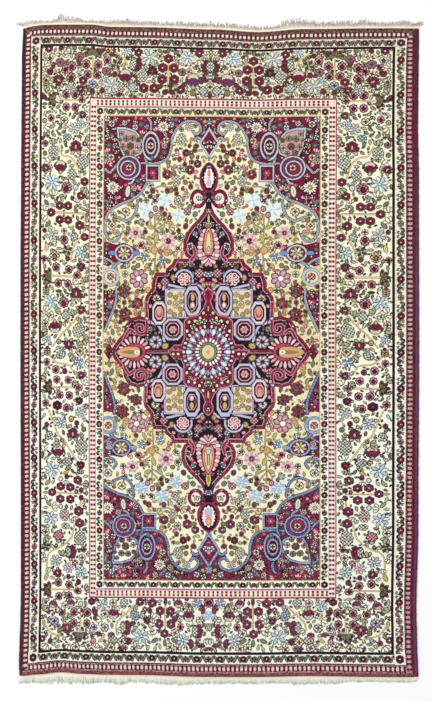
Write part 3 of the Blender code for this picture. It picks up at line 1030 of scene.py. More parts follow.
MEDALLION = [
    (211, 161), (206.5, 163.5), (202.5, 168.5), (200, 175), (200, 182), (202, 188), (205.5, 192.5),
    (206.3, 198), (206.2, 206), (203.5, 213), (198, 220), (192, 226), (187, 233), (184, 241),
    (183.5, 249), (186, 255.5), (191, 259), (174.4, 259), (172.7, 263.7), (166.6, 268.9), (165.8, 273.2),
    (155.4, 273.2), (152.9, 280), (152, 288.7), (146, 296.5), (144.5, 303), (145, 318), (138, 316.5),
    (130, 319), (125, 326), (123.5, 334), (118.4, 339.5), (113.2, 347), (111, 352), (111, 354), (213, 354),
    (213, 161),
]

MEDALLION_FLOWERS = [
    ("white bud", [(195, 233.5, 3, 20), (197, 258, 2.2), (129.5, 338, 2.6, 60), (162, 322.5, 2.6)]),
    ("pink bud", [(175, 269, 2.4, 60), (150, 306, 2.4), (148.5, 322, 2.4)]),
    ("grey cone", [(199, 226, 3.2, 10), (190, 246, 4.4, 30)]),
    ("pink rosette", [(199.3, 273.2, 5.8), (164.8, 281.5, 5)]),
    ("grey rosette", [(191, 264.5, 2.8), (150, 329, 3)]),
    ("burgundy spokes", [(184, 279, 6.2)]),
    ("bud", [(181, 266, 2.6)]),
    ("open rosette", [(156.3, 298.5, 5)]),
    ("lilac rosette", [(155.4, 342, 6.8)]),
    ("gold bud", [(203.5, 285, 2.7), (173, 277.5, 3), (165, 346, 3.6, 60)]),
]

# Small blooms on the bright tiles of the medallion: place from the tile's middle, reach and dye.
TILE_BLOOMS = [
    (1, -1, 4.4, "straw"), (-5.5, 8.5, 3.2, "sage"), (5, 9, 3.2, "blush"), (-5.5, -8, 3.2, "gold"),
    (0, 6, 2.8, "pink"), (6, 2, 2.8, "moss"), (-6, 1, 2.8, "pink"), (5.5, -6, 3.0, "gold"),
    (-1, -11, 2.8, "dusty"), (5, -11, 2.4, "moss"),
]
SCROLLS = [
    [
        (146, 303), (146.5, 318), (146, 331), (140.5, 334), (136, 330.5), (137, 325.5), (141.5, 325.5),
        (142, 329),
    ],
    [(191, 260), (195, 254), (193, 246.5), (188.5, 249)],
    [(124, 338), (129, 330), (134, 333)],
]
LILAC_RIBBONS = [
    [(146, 318), (152, 323), (158, 326), (162, 333), (164, 341)],
    [(163, 289), (165, 284.5), (172, 285.5), (180, 287.5), (186, 289)],
    [(184, 316), (190, 319), (196, 316)],
    [(203, 289), (199, 285.5), (192.5, 284.5)],
]
HEART_GROUND = [
    (213, 286), (208.5, 287), (204.5, 291), (204, 297), (206, 301), (203, 309), (198, 315), (188, 317),
    (184, 321), (184, 338), (181, 345), (174, 345), (168, 352), (168, 354), (213, 354),
]
# Where a small bud lies on the red ground, and its turn.
HEART_BUDS = [
    (203.5, 313, 60), (195, 321, 50), (189, 322, 20), (187, 331, 0), (187, 342, 0), (178, 350, 90),
    (200, 318, 40), (173, 350, 60),
]


def folded(x, y):
    """Where a place of the upper half lies on the lower half."""
    up = FOLD - y
    far = min(abs(up) / FOLD_SPAN, 1.0)
    across = (AXIS + AXIS_LEAN_UP - x) * FOLD_WIDER
    return x - far * (FOLD_SHIFT + across), FOLD + up * (1 - FOLD_SHORTER * far)


def carved(c, points, width, dye):
    """A ribbon with dark sides and a fine dark line along it."""
    c.line(points, width, dye, edge="night")
    c.line(points, 0.6, "steel")


def framed(c, shape, reach, dye, *inner, outside=0.6, edge="night"):
    """A shape of the frame's dye with a dark edge around it, and what lies inside the frame."""
    c.stamp(shape, reach, [(outside, edge), (0, dye), *inner])


def draw_spandrel(c, ribbon, leaf_ground):
    """A corner of the field. ribbon is the dye of its ribbons and frames."""
    c.region(SPANDREL, [(0, "burgundy")])
    c.region(EYE_GROUND, [(0.5, "wine"), (0, "burgundy")])
    c.region(SIDE_WEDGE, [(0, "burgundy")])
    for points in RIBBONS:
        carved(c, points, 1.9, ribbon)
    c.region(LEAF_CARTOUCHE, [(0.8, "night"), (0, ribbon), (-1.6, "wine"), (-2.3, leaf_ground)])
    for x, y, reach, ink in LEAF_BLOOMS:
        ring_rosette(c.at(x, y), reach, ink)
    drop = c.at(150.6, 145.6)
    inner = [(-1.5, "night"), (-2.3, "burgundy"), (-3.6, ribbon), (-4.7, "wine")]
    framed(drop, oval(8.8, 14.2), 15, ribbon, *inner, outside=0.7)
    ring_rosette(drop, 4.0, "sand", edge="wine")
    wheel = c.at(128.4, 167.5)
    framed(wheel, disc(12.0), 13, ribbon, (-1.4, "plum"), (-3.6, "dusk"), outside=0.7)
    framed(wheel.seen_from(-0.8, -0.6), disc(7.8), 9, ribbon, (-1.3, "wine"), (-2.2, "crimson"))
    ring_rosette(wheel, 3.8, "sand", edge="wine")
    framed(c.at(127.6, 177.4), ring(6.0, 0.8, 100, 260), 8, ribbon, outside=0.3)
    tile = c.at(152.4, 172.8)
    framed(tile, block(7.0, 7.8), 8, ribbon, (-1.4, "night"), (-2.2, "burgundy"))
    rosette(tile, 3.6, "rose", "sand", "wine")
    eye = c.at(123.6, 253)
    framed(eye, oval(9.6, 8.4), 10, ribbon, (-1.6, "night"), (-2.2, "crimson"))
    lily(eye, 6.4, "cream", "moss", "wine")
    for turn in (-90, 90):
        foot = eye.seen_from(0, 0, turn).seen_from(0, 8.5)
        foot.stamp(blade(7.5, 4.4), 8, [(0.4, "wine"), (-0.1, "blue")])
    framed(c.at(110, 277), ring(7.6, 1.2), 9, ribbon, outside=0.5, edge="steel")
    paint(c, SPANDREL_FLOWERS)
    lozenge = c.at(210.8, 142.3)
    layers = [(0.4, "wine"), (0, ribbon), (-2.2, "wine"), (-2.7, "burgundy")]
    lozenge.stamp(diamond(11.5, 18.0), 18, layers)
    lozenge.seen_from(0, 2).stamp(oval(1.8, 2.6), 3, [(0.4, "wine"), (0, "pink")])
    lozenge.seen_from(0, -3.4).stamp(blade(3.4, 2.4), 4, [(0.4, "wine"), (0, "cream")])
    for y, reach in ((121.5, 4.0), (158.5, 3.2)):
        lily(c.at(211, y), reach, "sky", "blue", "steel")


def draw_field(c, lily_kind):
    """The stems and flowers of the cream field. Its lilies are faded in one half and clear in the other."""
    for points in FIELD_STEMS:
        c.line(points, 0.8, "gold", edge="shade", edge_width=0.5)
    paint(c, [(lily_kind, FIELD_LILIES)])
    paint(c, FIELD_FLOWERS)


def draw_pendant(c):
    """The pale bloom that hangs in the medallion's tip."""
    c.stamp(oval(9.6, 14.6), 15, [(0.6, "crimson"), (-0.6, "night")])
    petals = scallop(7.2, 14, 0.16, tall=1.6)
    c.seen_from(0, -0.8).stamp(petals, 13, [(0.3, "plum"), (-0.3, "white"), (-2.6, "blush")])
    c.seen_from(0, 4.4).stamp(oval(3.0, 3.6), 5, [(0.5, "rose"), (-0.1, "apricot"), (-1.8, "straw")])
    c.seen_from(0, -5.6).stamp(oval(3.8, 3.4), 5, [(0.4, "mauve"), (0, "lilac"), (-1.6, "ribbon")])
    c.seen_from(0, -0.6).stamp(oval(4.2, 1.1), 5, [(0, "pink")])


def draw_tiles(c):
    """The bright sheet and the three eight-sided frames beside it."""
    sheet = c.at(175.3, 303.5)
    framed(sheet, block(10.6, 14.6), 16, "lilac", (-1.0, "plum"), (-1.6, "blush"))
    sheet.stamp(netted(block(9.6, 13.6), 3.4, 0.34), 15, [(-1.4, "straw")])
    for x, y, reach, dye in TILE_BLOOMS:
        ring_rosette(sheet.seen_from(x, y), reach, dye, "apricot", "olive")
    hollow = c.at(192.5, 301)
    inner = [(-0.8, "ribbon"), (-1.5, "lilac"), (-2.2, "night"), (-3.6, "pink"), (-4.2, "night")]
    framed(hollow, eight_sided(8.2, 14.6), 15, "lilac", *inner, outside=0.8)
    hollow.seen_from(0, 3.6).stamp(oval(1.9, 3.4), 4, [(0.3, "wine"), (0, "gold")])
    hollow.seen_from(0, -4.0).stamp(oval(2.3, 3.0), 4, [(0.3, "wine"), (0, "pink"), (-1.2, "white")])
    small = c.at(158.9, 313)
    inner = [(-0.9, "blush"), (-1.8, "night"), (-3.2, "pink"), (-4.2, "rose")]
    framed(small, eight_sided(7.0, 11.6), 12, "lilac", *inner, outside=0.8)
    small.seen_from(0, -2).stamp(blade(7, 3.4), 8, [(0.3, "apricot"), (-0.2, "gold")])
    wheel = c.at(172.7, 329.5)
    inner = [(-1.0, "lilac"), (-1.8, "mauve"), (-2.4, "night"), (-3.8, "pink"), (-4.8, "night")]
    framed(wheel, eight_sided(10.2, 10.8), 12, "ribbon", *inner, outside=0.8)
    rosette(wheel, 4.0, "pink", "apricot", "wine")


def draw_medallion(c):
    """The lobed medallion of one half, with its scrolls, ribbons and blooms."""
    band = [(0.7, "wine"), (0, "crimson"), (-1.0, "burgundy"), (-2.7, "pink"), (-3.4, "night")]
    c.region(MEDALLION, band)
    for points in SCROLLS:
        c.line(points, 2.4, "crimson", edge="pink", edge_width=0.6)
    loop = c.at(198, 198.5)
    loop.stamp(oval(7.8, 9.0), 10, [(0.4, "wine"), (0, "burgundy"), (-3.0, "blush"), (-3.6, "cream")])
    sprig(loop.seen_from(1.0, 0, 20), 3.4, "sand")
    c.line([(211, 190), (211, 199), (211, 212)], 9.6, "night")
    for points in LILAC_RIBBONS:
        c.line(points, 2.2, "lilac", edge="night")
    paint(c, MEDALLION_FLOWERS)
    draw_pendant(c.at(210.8, 177))
    c.at(210.8, 219).stamp(oval(3.2, 7.6), 8, [(0.5, "wine"), (0, "lime"), (-1.4, "olive")])
    tall_palmette(c.at(210.6, 246), 12.6, 20.5)
    c.at(184, 279).stamp(ring(8.8, 0.9, -80, 110), 10, [(0.4, "plum"), (0, "lilac")])
    draw_tiles(c)
    c.region(HEART_GROUND, [(0.7, "wine"), (0.2, "pink"), (-0.4, "crimson"), (-2.4, "burgundy")])
    c.at(210, 308.5).stamp(oval(2.4, 4.8), 5, [(0.6, "wine"), (0, "lime")])
    for x, y, turn in HEART_BUDS:
        bud(c.at(x, y, turn), 2.0, "cream", "wine")


def draw_heart(c):
    """The rosette in the very middle, and the bloom at each tip beside it, once over both halves."""
    centre = c.at(209.2, 352.0)
    centre.stamp(disc(26.5), 27, [(0, "burgundy")])
    for spoke, (bead, bar) in by_turns(rays(centre, 36), ("dusty", "pink"), ("mist", "rose")):
        spoke.seen_from(0, 25.6).stamp(oval(1.1, 1.7), 2, [(0.5, "night"), (0, bead)])
        spoke.seen_from(0, 15).stamp(block(0.55, 4.6), 7, [(0, bar)])
    petals = by_turns(rays(centre, 20), "blue", "sky")
    for (spoke, dye), between_two in zip(petals, rays(centre, 20, 0.5)):
        spoke.seen_from(0, 16.2).stamp(blade(7.6, 4.8, 0.66), 9, [(0.6, "night"), (-0.1, dye)])
        spoke.seen_from(0, 20.6).stamp(oval(0.8, 1.9), 3, [(0, "white")])
        between_two.seen_from(0, 19.6).stamp(blade(3.8, 1.6), 4, [(0.2, "wine"), (-0.1, "pink")])
    for spoke in rays(centre, 24):
        spoke.seen_from(0, 12.4).stamp(oval(1.1, 2.1), 3, [(0.6, "plum"), (-0.1, "white")])
    centre.stamp(disc(10.2), 11, [(0, "pine"), (-1.2, "sage"), (-1.9, "pine")])
    centre.stamp(disc(10.2), 11, [(-2.6, "outline"), (-3.0, "straw"), (-4.6, "apricot")])
    centre.stamp(disc(5.4), 6, [(0, "straw"), (-2.4, "apricot"), (-3.4, "gold"), (-4.2, "white")])
    tip = c.at(134.5, 352.2, -90)
    palmette(tip, 17.5)
    flame = [(0.4, "wine"), (0, "gold"), (-1.6, "apricot"), (-3.4, "stem")]
    tip.seen_from(0, -5).stamp(blade(23, 11, 0.35), 24, flame)
    tip.seen_from(0, -2).stamp(oval(2.2, 2.6), 3, [(0, "white"), (-1.2, "blue")])
    c.at(108.5, 352).stamp(diamond(4.8, 8.2), 9, [(0.5, "wine"), (-0.2, "burgundy")])


# ---------------------------------------------------------------------------- the whole cartoon

# Small leaves and dots that fill what still shows of a ground: between which places out and up they lie,
# the kinds to choose from, their size and number as shares of the round's, the seed, and the share that is
# tried above the middle.
Filling = collections.namedtuple("Filling", "ground out up kinds size number seed above")

LEAVES = ["open leaf", "pale sprig", "leaf", "grey leaf", "open leaf", "sprig", "sage leaf"]
BLOOMS = [
    "open leaf", "lime leaf", "gold leaf", "gold sprig", "leaf", "grey leaf", "sage leaf", "open rosette",
    "apricot sprig", "pink sprig", "gold leaf",
]
BRIGHT = ["small star", "sky leaf", "fine daisy", "bright sprig", "pink sprig", "pink rosette", "white bud"]
AT_ENDS = ["open leaf", "pale sprig", "grey leaf", "wine sprig", "leaf", "open rosette", "open leaf"]
IN_FIELD = (0, 108), (0, 231)

BERRIES = Filling("cream", *IN_FIELD, ["bud", "wine sprig", "olive bud"], 1, 1, 3, 0.7)
FILLINGS = [
    Filling("ivory", (124, 176), (0, 301), LEAVES, 1, 1, 5, 0.6),
    Filling("ivory", (0, 176), (250, 301), AT_ENDS, 1, 2, 7, 0.8),
    Filling("cream", *IN_FIELD, BLOOMS, 0.97, 1, 9, 0.6),
    Filling("burgundy", *IN_FIELD, BRIGHT, 0.66, 1, 11, 0.6),
    Filling("night", *IN_FIELD, BRIGHT, 0.6, 0.5, 13, 0.6),
]
# The rounds of filling, from large pieces to small ones: reach and tries.
ROUNDS = ((5.0, 2500), (3.8, 3500), (2.6, 4500), (1.8, 3500))
# How much of its reach has to be bare for a piece to be drawn.
BARE_SHARE = 0.42


def fill_gaps(c, filling, reach, tries):
    """Tries places by chance, and draws a piece wherever the ground is still bare."""
    chance = random.Random(filling.seed)
    bare = NUMBER[filling.ground]
    for _ in range(int(tries * filling.number)):
        out = chance.uniform(*filling.out)
        up = chance.uniform(*filling.up) * (1 if chance.random() < filling.above else -1)
        kind = chance.choice(filling.kinds)
        spot = c.seen_from(out, up, chance.uniform(0, 360))
        view, _, _ = spot.window(reach * filling.size * BARE_SHARE)
        if view.size and (view == bare).all():
            KINDS[kind](spot, reach * filling.size)


# The two guard stripes and the two rows of squares.
OUTER_FLOWERS = Row(183.9, 308.0, 36.0, 23.7)
INNER_FLOWERS = Row(113.1, 236.8, 36.5, 22.5)
OUTER_CHECKS = Row(192.2, 317.0, 4.7, 4.4)
INNER_CHECKS = Row(120.1, 245.4, 4.7, 4.4)


def draw_cartoon():
    knots = np.zeros((2 * HALF_ALONG * KNOTS_PER_SQUARE, HALF_ACROSS * KNOTS_PER_SQUARE), np.uint8)
    c = Cartoon(knots)
    lower = Cartoon(knots, lower=True)
    draw_bands(c, BANDS)
    draw_field(c, "faded lily")
    draw_field(lower, "clear lily")
    draw_spandrel(c, "ribbon", "dusty")
    draw_spandrel(lower, "blue", "ivory")
    draw_medallion(c)
    draw_medallion(lower)
    draw_heart(c)
    draw_bands(c, BANDS[WIDE_BORDER_FOOT:-1])
    draw_border(c)
    fill_gaps(c, BERRIES, 2.3, 900)
    for reach, tries in ROUNDS:
        for filling in FILLINGS:
            fill_gaps(c, filling, reach, tries)
    draw_bands(c, BANDS[:WIDE_BORDER + 1])
    draw_bands(c, BANDS[WIDE_BORDER_FOOT:-1])
    draw_guard(c, OUTER_FLOWERS, 3.3)
    draw_guard(c, INNER_FLOWERS, 2.8)
    draw_checks(c, OUTER_CHECKS, 2.6, "crimson", "wine", "blush")
    draw_checks(c, INNER_CHECKS, 2.7, "dusty", "burgundy", "cream")
    whole = np.concatenate([knots[:, ::-1], knots], axis=1)
    age(whole)
    return whole


# Uneven wool. Each knot draws a number from 0 to 1. Where it lies between low and high, a knot of this dye
# came out as the other dye. A lot finds the knots as the lots above it left them.
Lot = collections.namedtuple("Lot", "dye where low high other")
AGE_SEED = 17

# The first draw, for the ground of the field.
FIELD_LOTS = table(Lot, [
    ("cream", "pale patches", 0, 0.6, "mist"),
    ("cream", "warm patches", 0, 0.42, "straw"),
    ("cream", "warm hollows", 0.86, 1, "lime"),
    ("cream", "upper warm patches", 0.93, 1, "apricot"),
])
# The second draw, for everything.
WOOL_LOTS = table(Lot, [
    ("ivory", "rug", 0, 0.12, "sand"),
    ("cream", "rug", 0, 0.22, "ivory"),
    ("burgundy", "rug", 0, 0.28, "wine"),
    ("crimson", "rug", 0, 0.25, "burgundy"),
    ("night", "rug", 0, 0.12, "wine"),
    ("outline", "lower half", 0, 0.6, "dusk"), ("outline", "upper half", 0, 0.4, "shade"),
    ("ivory", "upper half", 0, 0.14, "straw"), ("ivory", "upper half", 0, 0.56, "cream"),
    ("cream", "upper half", 0, 0.2, "straw"),
    ("ribbon", "upper half", 0, 0.22, "moss"),
    ("outline", "field", 0.72, 1, "olive"),
    ("dusk", "field", 0.4, 1, "shade"),
    ("pine", "field", 0.5, 1, "sage"),
    ("blue", "lower half", 0.66, 1, "ribbon"),
    ("burgundy", "lower half", 0.78, 1, "plum"),
    ("plum", "lower half", 0.92, 1, "mauve"),
    ("crimson", "lower half", 0.92, 1, "mauve"),
    ("shade", "bottom rim", 0.5, 1, "dusty"), ("shade", "rim", 0, 0.5, "wine"),
    ("shade", "rim", 0.82, 1, "stem"),
    ("blush", "right rim", 0.8, 1, "mauve"), ("blush", "right rim", 0.45, 1, "pink"),
    ("blush", "side rims", 0, 0.3, "dusty"),
    ("outline", "bottom border", 0.9, 1, "mauve"), ("outline", "bottom border", 0.74, 1, "sage"),
    ("dusk", "bottom border", 0.9, 1, "mauve"), ("dusk", "bottom border", 0.74, 1, "sage"),
    ("wine", "top band", 0, 0.16, "shade"), ("wine", "top band", 0, 0.3, "outline"),
    ("wine", "top band", 0.84, 1, "stem"), ("wine", "bottom band", 0, 0.3, "rose"),
    ("wine", "bottom band", 0.8, 1, "stem"),
    ("ivory", "top guard", 0.8, 1, "moss"), ("ivory", "top guard", 0.55, 1, "dusty"),
    ("ivory", "top guard", 0, 0.26, "shade"), ("ivory", "guard", 0, 0.1, "sage"),
    ("ivory", "guard", 0.9, 1, "dusty"),
    ("sage", "top stripe", 0, 0.66, "shade"), ("sage", "top stripe", 0.8, 1, "mauve"),
    ("ivory", "inner top guard", 0, 0.3, "shade"), ("ivory", "inner top guard", 0.7, 1, "gold"),
    ("ivory", "top border", 0.93, 1, "moss"), ("ivory", "top border", 0.8, 1, "straw"),
])


# How far from the middle the warm wool of the field ends, and where its pale wool begins and ends, before
# the drift that makes these lines uneven.
WARM_END = 112
PALE_START = 118
PALE_END = 158


def lot_places(rows, columns):
    """The parts of the rug that a lot can name, each true for the knots that lie in it."""
    up = (np.arange(rows) + 0.5)[:, None] / KNOTS_PER_SQUARE - HALF_ALONG
    across = (np.arange(columns) + 0.5)[None, :] / KNOTS_PER_SQUARE - HALF_ACROSS
    out = np.abs(across)
    far = np.abs(up)
    lower = up < 20 * np.sin(np.arange(columns) / 37.0)[None, :]
    drift = far + 14 * np.sin(out / 13.0) + 9 * np.sin(up / 17.0 + 1.3)
    patch = np.sin(out / 9.0 + 0.6) + np.sin(up / 11.0)
    warm = (drift < WARM_END) & (patch < 1.0)
    past_squares = far > BANDS[OUTER_GUARD_LINE].up
    sides = out > BANDS[OUTER_GUARD_LINE].out
    past_end = far > BANDS[OUTER_SQUARES].up
    guard = (far > BANDS[OUTER_GUARD_FOOT].up) | (out > BANDS[OUTER_GUARD_FOOT].out)
    top = up > BANDS[OUTER_GUARD_FOOT].up
    inner_top = (up > BANDS[INNER_GUARD_FOOT].up) & (up < BANDS[INNER_GUARD].up)
    return {
        "rug": True,
        "lower half": lower,
        "upper half": ~lower,
        "pale patches": (drift > PALE_START) & (drift < PALE_END) & (patch > 0.2),
        "warm patches": warm,
        "warm hollows": warm & (patch < -0.4),
        "upper warm patches": warm & (up > 0),
        "field": (out < BANDS[FIELD].out) & (far < BANDS[FIELD].up),
        "rim": past_squares | sides,
        "bottom rim": past_squares & (up < 0),
        "side rims": sides,
        "right rim": sides & (across > 0),
        "top band": past_end & (up > 0),
        "bottom band": past_end & (up < 0),
        "guard": guard,
        "top guard": guard & top & (out < BANDS[OUTER_GUARD].out),
        "top stripe": top & (up < BANDS[OUTER_GUARD].up),
        "inner top guard": inner_top & (out < BANDS[INNER_GUARD].out),
        "top border": up > BANDS[WIDE_BORDER_FOOT].up,
        "bottom border": (up < -BANDS[WIDE_BORDER_FOOT].up) & (up > -BANDS[WIDE_BORDER].up),
    }


def age(knots):
    """Gives a share of each dye's knots the dye of another lot, as in a rug that was dyed bit by bit."""
    chance = np.random.default_rng(AGE_SEED)
    places = lot_places(*knots.shape)
    for lots in (FIELD_LOTS, WOOL_LOTS):
        draw = chance.random(knots.shape)
        for lot in lots:
            picked = places[lot.where] & (draw >= lot.low) & (draw < lot.high)
            knots[picked & (knots == NUMBER[lot.dye])] = NUMBER[lot.other]


# ---------------------------------------------------------------------------- the rug's own outline

# The nominal rectangle, and what the sides of the pile leave for the cords, as the CAD has them.
HALF_WIDTH = 0.650
HALF_LENGTH = 1.058
PILE_THICKNESS = 0.008
LEFT_CORD_WIDTH = 0.009
RIGHT_CORD_WIDTH = 0.0155
CORD_HEIGHT = 0.0068
CORD_END_GAP = 0.0008
SEAM_GAP = 0.0003
PILE_LEFT = -HALF_WIDTH + LEFT_CORD_WIDTH + SEAM_GAP
PILE_RIGHT = HALF_WIDTH - RIGHT_CORD_WIDTH - SEAM_GAP

EdgeRow = collections.namedtuple("EdgeRow", "along_mm out_mm")
FringeRow = collections.namedtuple("FringeRow", "along_mm reach_mm lean_mm")

# How far each edge stands out of the nominal rectangle, from its bottom or left end onwards.
LEFT_EDGE = table(EdgeRow, [
    (-1058, 6.0), (-1025, 7.8), (-940, 5.8), (-890, 3.5), (-780, 1.5), (-560, 1.5), (10, 3.2),
    (295, 3.0), (580, 0.9), (950, -1.7), (1058, -5.7),
])
RIGHT_EDGE = table(EdgeRow, [
    (-1058, 0.2), (-940, -3.7), (-840, -6.0), (-565, 0.0), (10, 2.8), (580, 2.0), (740, -0.7),
    (810, 0.2), (1058, 2.5),
])
TOP_EDGE = table(EdgeRow, [
    (-650, 1.3), (-613, 8.5), (-586, 12.4), (-540, 13.4), (-426, 13.7), (-359, 6.2), (-260, 5.2),
    (-25, -2.3), (122, -11.1), (275, -1.3), (524, 1.5), (650, 1.3),
])
BOTTOM_EDGE = table(EdgeRow, [
    (-650, 1.0), (-588, -4.6), (-516, -11.8), (-436, -6.2), (-359, -3.6), (-270, -2.9), (-42, 3.6),
    (122, 3.6), (301, 0.3), (498, 3.6), (650, 4.6),
])


def read_row(rows, along_mm, column="out_mm"):
    """A column's values at places between the rows, eased so that the edge bends softly at each row."""
    places = np.array([row.along_mm for row in rows], float)
    values = np.array([getattr(row, column) for row in rows], float)
    along_mm = np.asarray(along_mm, float)
    after = np.clip(np.searchsorted(places, along_mm, side="right"), 1, len(rows) - 1)
    share = (along_mm - places[after - 1]) / (places[after] - places[after - 1])
    share = np.clip(share, 0.0, 1.0)
    eased = share * share * (3 - 2 * share)
    return values[after - 1] + eased * (values[after] - values[after - 1])


def woven(x, y, hold=1.0):
    """The real place of a point of the nominal rectangle. hold is how much of the uneven edge it feels."""
    to_right = (x / HALF_WIDTH + 1) / 2
    to_top = (y / HALF_LENGTH + 1) / 2
    left_out = read_row(LEFT_EDGE, y / MM) * (1 - to_right)
    right_out = read_row(RIGHT_EDGE, y / MM) * to_right
    bottom_out = read_row(BOTTOM_EDGE, x / MM) * (1 - to_top)
    top_out = read_row(TOP_EDGE, x / MM) * to_top
    return x + (right_out - left_out) * MM * hold, y + (top_out - bottom_out) * MM * hold


# The weave is tighter on the left than on the right: how far the rug's axis lies left of its middle.
AXIS_SHIFT_MIDDLE = 0.0345
AXIS_SHIFT_TOP = 0.0260
AXIS_SHIFT_BOTTOM = 0.0296
# The rows sit a little looser half way to each end.
ROWS_LOOSE = 0.013
EDGE_HOLD_POWER = 4


def laid(across, along):
    """Where a place of the cartoon lies on the rug. Both run from -1 to 1 over the pile."""
    end_shift = np.where(along > 0, AXIS_SHIFT_TOP, AXIS_SHIFT_BOTTOM)
    shift = AXIS_SHIFT_MIDDLE + (end_shift - AXIS_SHIFT_MIDDLE) * along * along
    x = (PILE_LEFT + PILE_RIGHT) / 2 + (PILE_RIGHT - PILE_LEFT) / 2 * across
    x = x + shift * (across * across - 1)
    near_end = along * along
    y = HALF_LENGTH * along + ROWS_LOOSE * 4 * near_end * (1 - near_end)
    hold = np.maximum(np.abs(across), np.abs(along)) ** EDGE_HOLD_POWER
    return woven(x, y, hold)


# ---------------------------------------------------------------------------- materials


def linear(dye):
    """A dye as the shader takes it, by the standard curve of screen colours."""
    channels = (dye.red / 255, dye.green / 255, dye.blue / 255)
    return tuple(c / 12.92 if c <= 0.04045 else ((c + 0.055) / 1.055) ** 2.4 for c in channels)


def math_node(operation, swapped=False):
    """What an operator does to a link: it adds one Math node."""

    def method(self, other):
        return self.math(operation, other, self) if swapped else self.math(operation, self, other)

    return method


class Link:
    """One output of a material's nodes. An expression on it adds the Math nodes."""

    __add__ = math_node("ADD")
    __radd__ = math_node("ADD", swapped=True)
    __sub__ = math_node("SUBTRACT")
    __rsub__ = math_node("SUBTRACT", swapped=True)
    __mul__ = math_node("MULTIPLY")
    __truediv__ = math_node("DIVIDE")
    __mod__ = math_node("FLOORED_MODULO")
    __gt__ = math_node("GREATER_THAN")

    def __init__(self, look, socket):
        self.look = look
        self.socket = socket

    def math(self, operation, *values):
        return self.look.node("Math", {"operation": operation}, values)

    def floor(self):
        return self.math("FLOOR", self)

    def part(self):
        return self.math("FRACT", self)

    def held(self, low, high):
        return self.math("MINIMUM", self.math("MAXIMUM", self, low), high)

    def step(self, low, high):
        """Rises smoothly from 0 at low to 1 at high."""
        inputs = {"Value": self, "From Min": low, "From Max": high}
        return self.look.node("MapRange", {"interpolation_type": "SMOOTHSTEP"}, inputs)


class Look:
    """A material, with one method that adds any node to it."""

    def __init__(self, name, roughness, sheen=0.0):
        self.material = bpy.data.materials.new(name)
        self.material.use_nodes = True
        self.tree = self.material.node_tree
        self.shader = self.tree.nodes["Principled BSDF"]
        self.shader.inputs["Roughness"].default_value = roughness
        self.shader.inputs["Specular IOR Level"].default_value = 0.2
        self.shader.inputs["Sheen Weight"].default_value = sheen
        self.shader.inputs["Sheen Roughness"].default_value = 0.4

    def node(self, kind, settings=None, inputs=(), output=0):
        node = self.tree.nodes.new("ShaderNode" + kind)
        for name, value in (settings or {}).items():
            setattr(node, name, value)
        pairs = inputs.items() if isinstance(inputs, dict) else enumerate(inputs)
        for name, value in pairs:
            self.feed(node.inputs[name], value)
        return Link(self, node.outputs[output])

    def chosen(self, number, colours):
        """The colour of a number, out of evenly spaced ones that jump from one to the next."""
        colour = self.node("ValToRGB", inputs=((number + 0.5) / MOST_DYES,))
        ramp = colour.socket.node.color_ramp
        ramp.interpolation = "CONSTANT"
        while len(ramp.elements) < len(colours):
            ramp.elements.new(0.5)
        for i, element in enumerate(ramp.elements):
            element.position = i / MOST_DYES
            element.color = (*colours[i], 1.0)
        return colour

    def feed(self, socket, value):
        if isinstance(value, Link):
            self.tree.links.new(value.socket, socket)
        elif hasattr(value, "__len__") and len(value) == 3 and socket.type == "RGBA":
            socket.default_value = (*value, 1.0)
        else:
            socket.default_value = value

    def finish(self, name, value):
        self.feed(self.shader.inputs[name], value)

    def mix(self, factor, first, second):
        return self.node("Mix", {"data_type": "RGBA"}, {0: factor, 6: first, 7: second}, output=2)

    def place(self):
        return self.node("TexCoord", output="Object")

    def map(self, name):
        return self.node("UVMap", {"uv_map": name})

    def split(self, vector):
        apart = self.node("SeparateXYZ", inputs=(vector,)).socket.node
        return [Link(self, output) for output in apart.outputs]

    def joined(self, x, y):
        return self.node("CombineXYZ", inputs=(x, y))

    def number(self, name):
        return self.node("Attribute", {"attribute_name": name}, output="Fac")

    def stretched(self, vector, scale):
        return self.node("VectorMath", {"operation": "MULTIPLY"}, (vector, scale))

    def noise(self, vector, scale, detail, roughness):
        inputs = {"Vector": vector, "Scale": scale, "Detail": detail, "Roughness": roughness}
        return self.node("TexNoise", inputs=inputs)

    def shaded(self, colour, brightness):
        """A colour made lighter or darker by a number."""
        return self.node("VectorMath", {"operation": "SCALE"}, {"Vector": colour, "Scale": brightness})

    def bumped(self, height, strength, distance):
        inputs = {"Height": height, "Strength": strength, "Distance": distance}
        self.finish("Normal", self.node("Bump", inputs=inputs))


# The numbers that each face of the pile keeps: four rows of knots, in a left and a right group of four.
FACES_ACROSS = 98
FACES_ALONG = 324
KNOTS_ACROSS_FACE = 8
KNOTS_ALONG_FACE = 4
KNOTS_IN_GROUP = 4
MOST_DYES = 32
KNOT_COLUMNS = 2 * HALF_ACROSS * KNOTS_PER_SQUARE
KNOT_ROWS = 2 * HALF_ALONG * KNOTS_PER_SQUARE
STITCH_MAP = "stitch"
CARTOON_MAP = "cartoon"
BAKE_MAP = "OFBake"


def group_name(row, group):
    return f"row_{row}_{'right' if group else 'left'}"


def packed_knots(knots):
    """For each row and group, one number a face that holds its four dyes."""
    rows, columns = knots.shape
    shape = (rows // KNOTS_ALONG_FACE, KNOTS_ALONG_FACE, columns // KNOTS_ACROSS_FACE, 2, KNOTS_IN_GROUP)
    by_face = knots.astype(np.int64).reshape(shape)
    weights = MOST_DYES ** np.arange(KNOTS_IN_GROUP)
    return (by_face * weights).sum(axis=4)


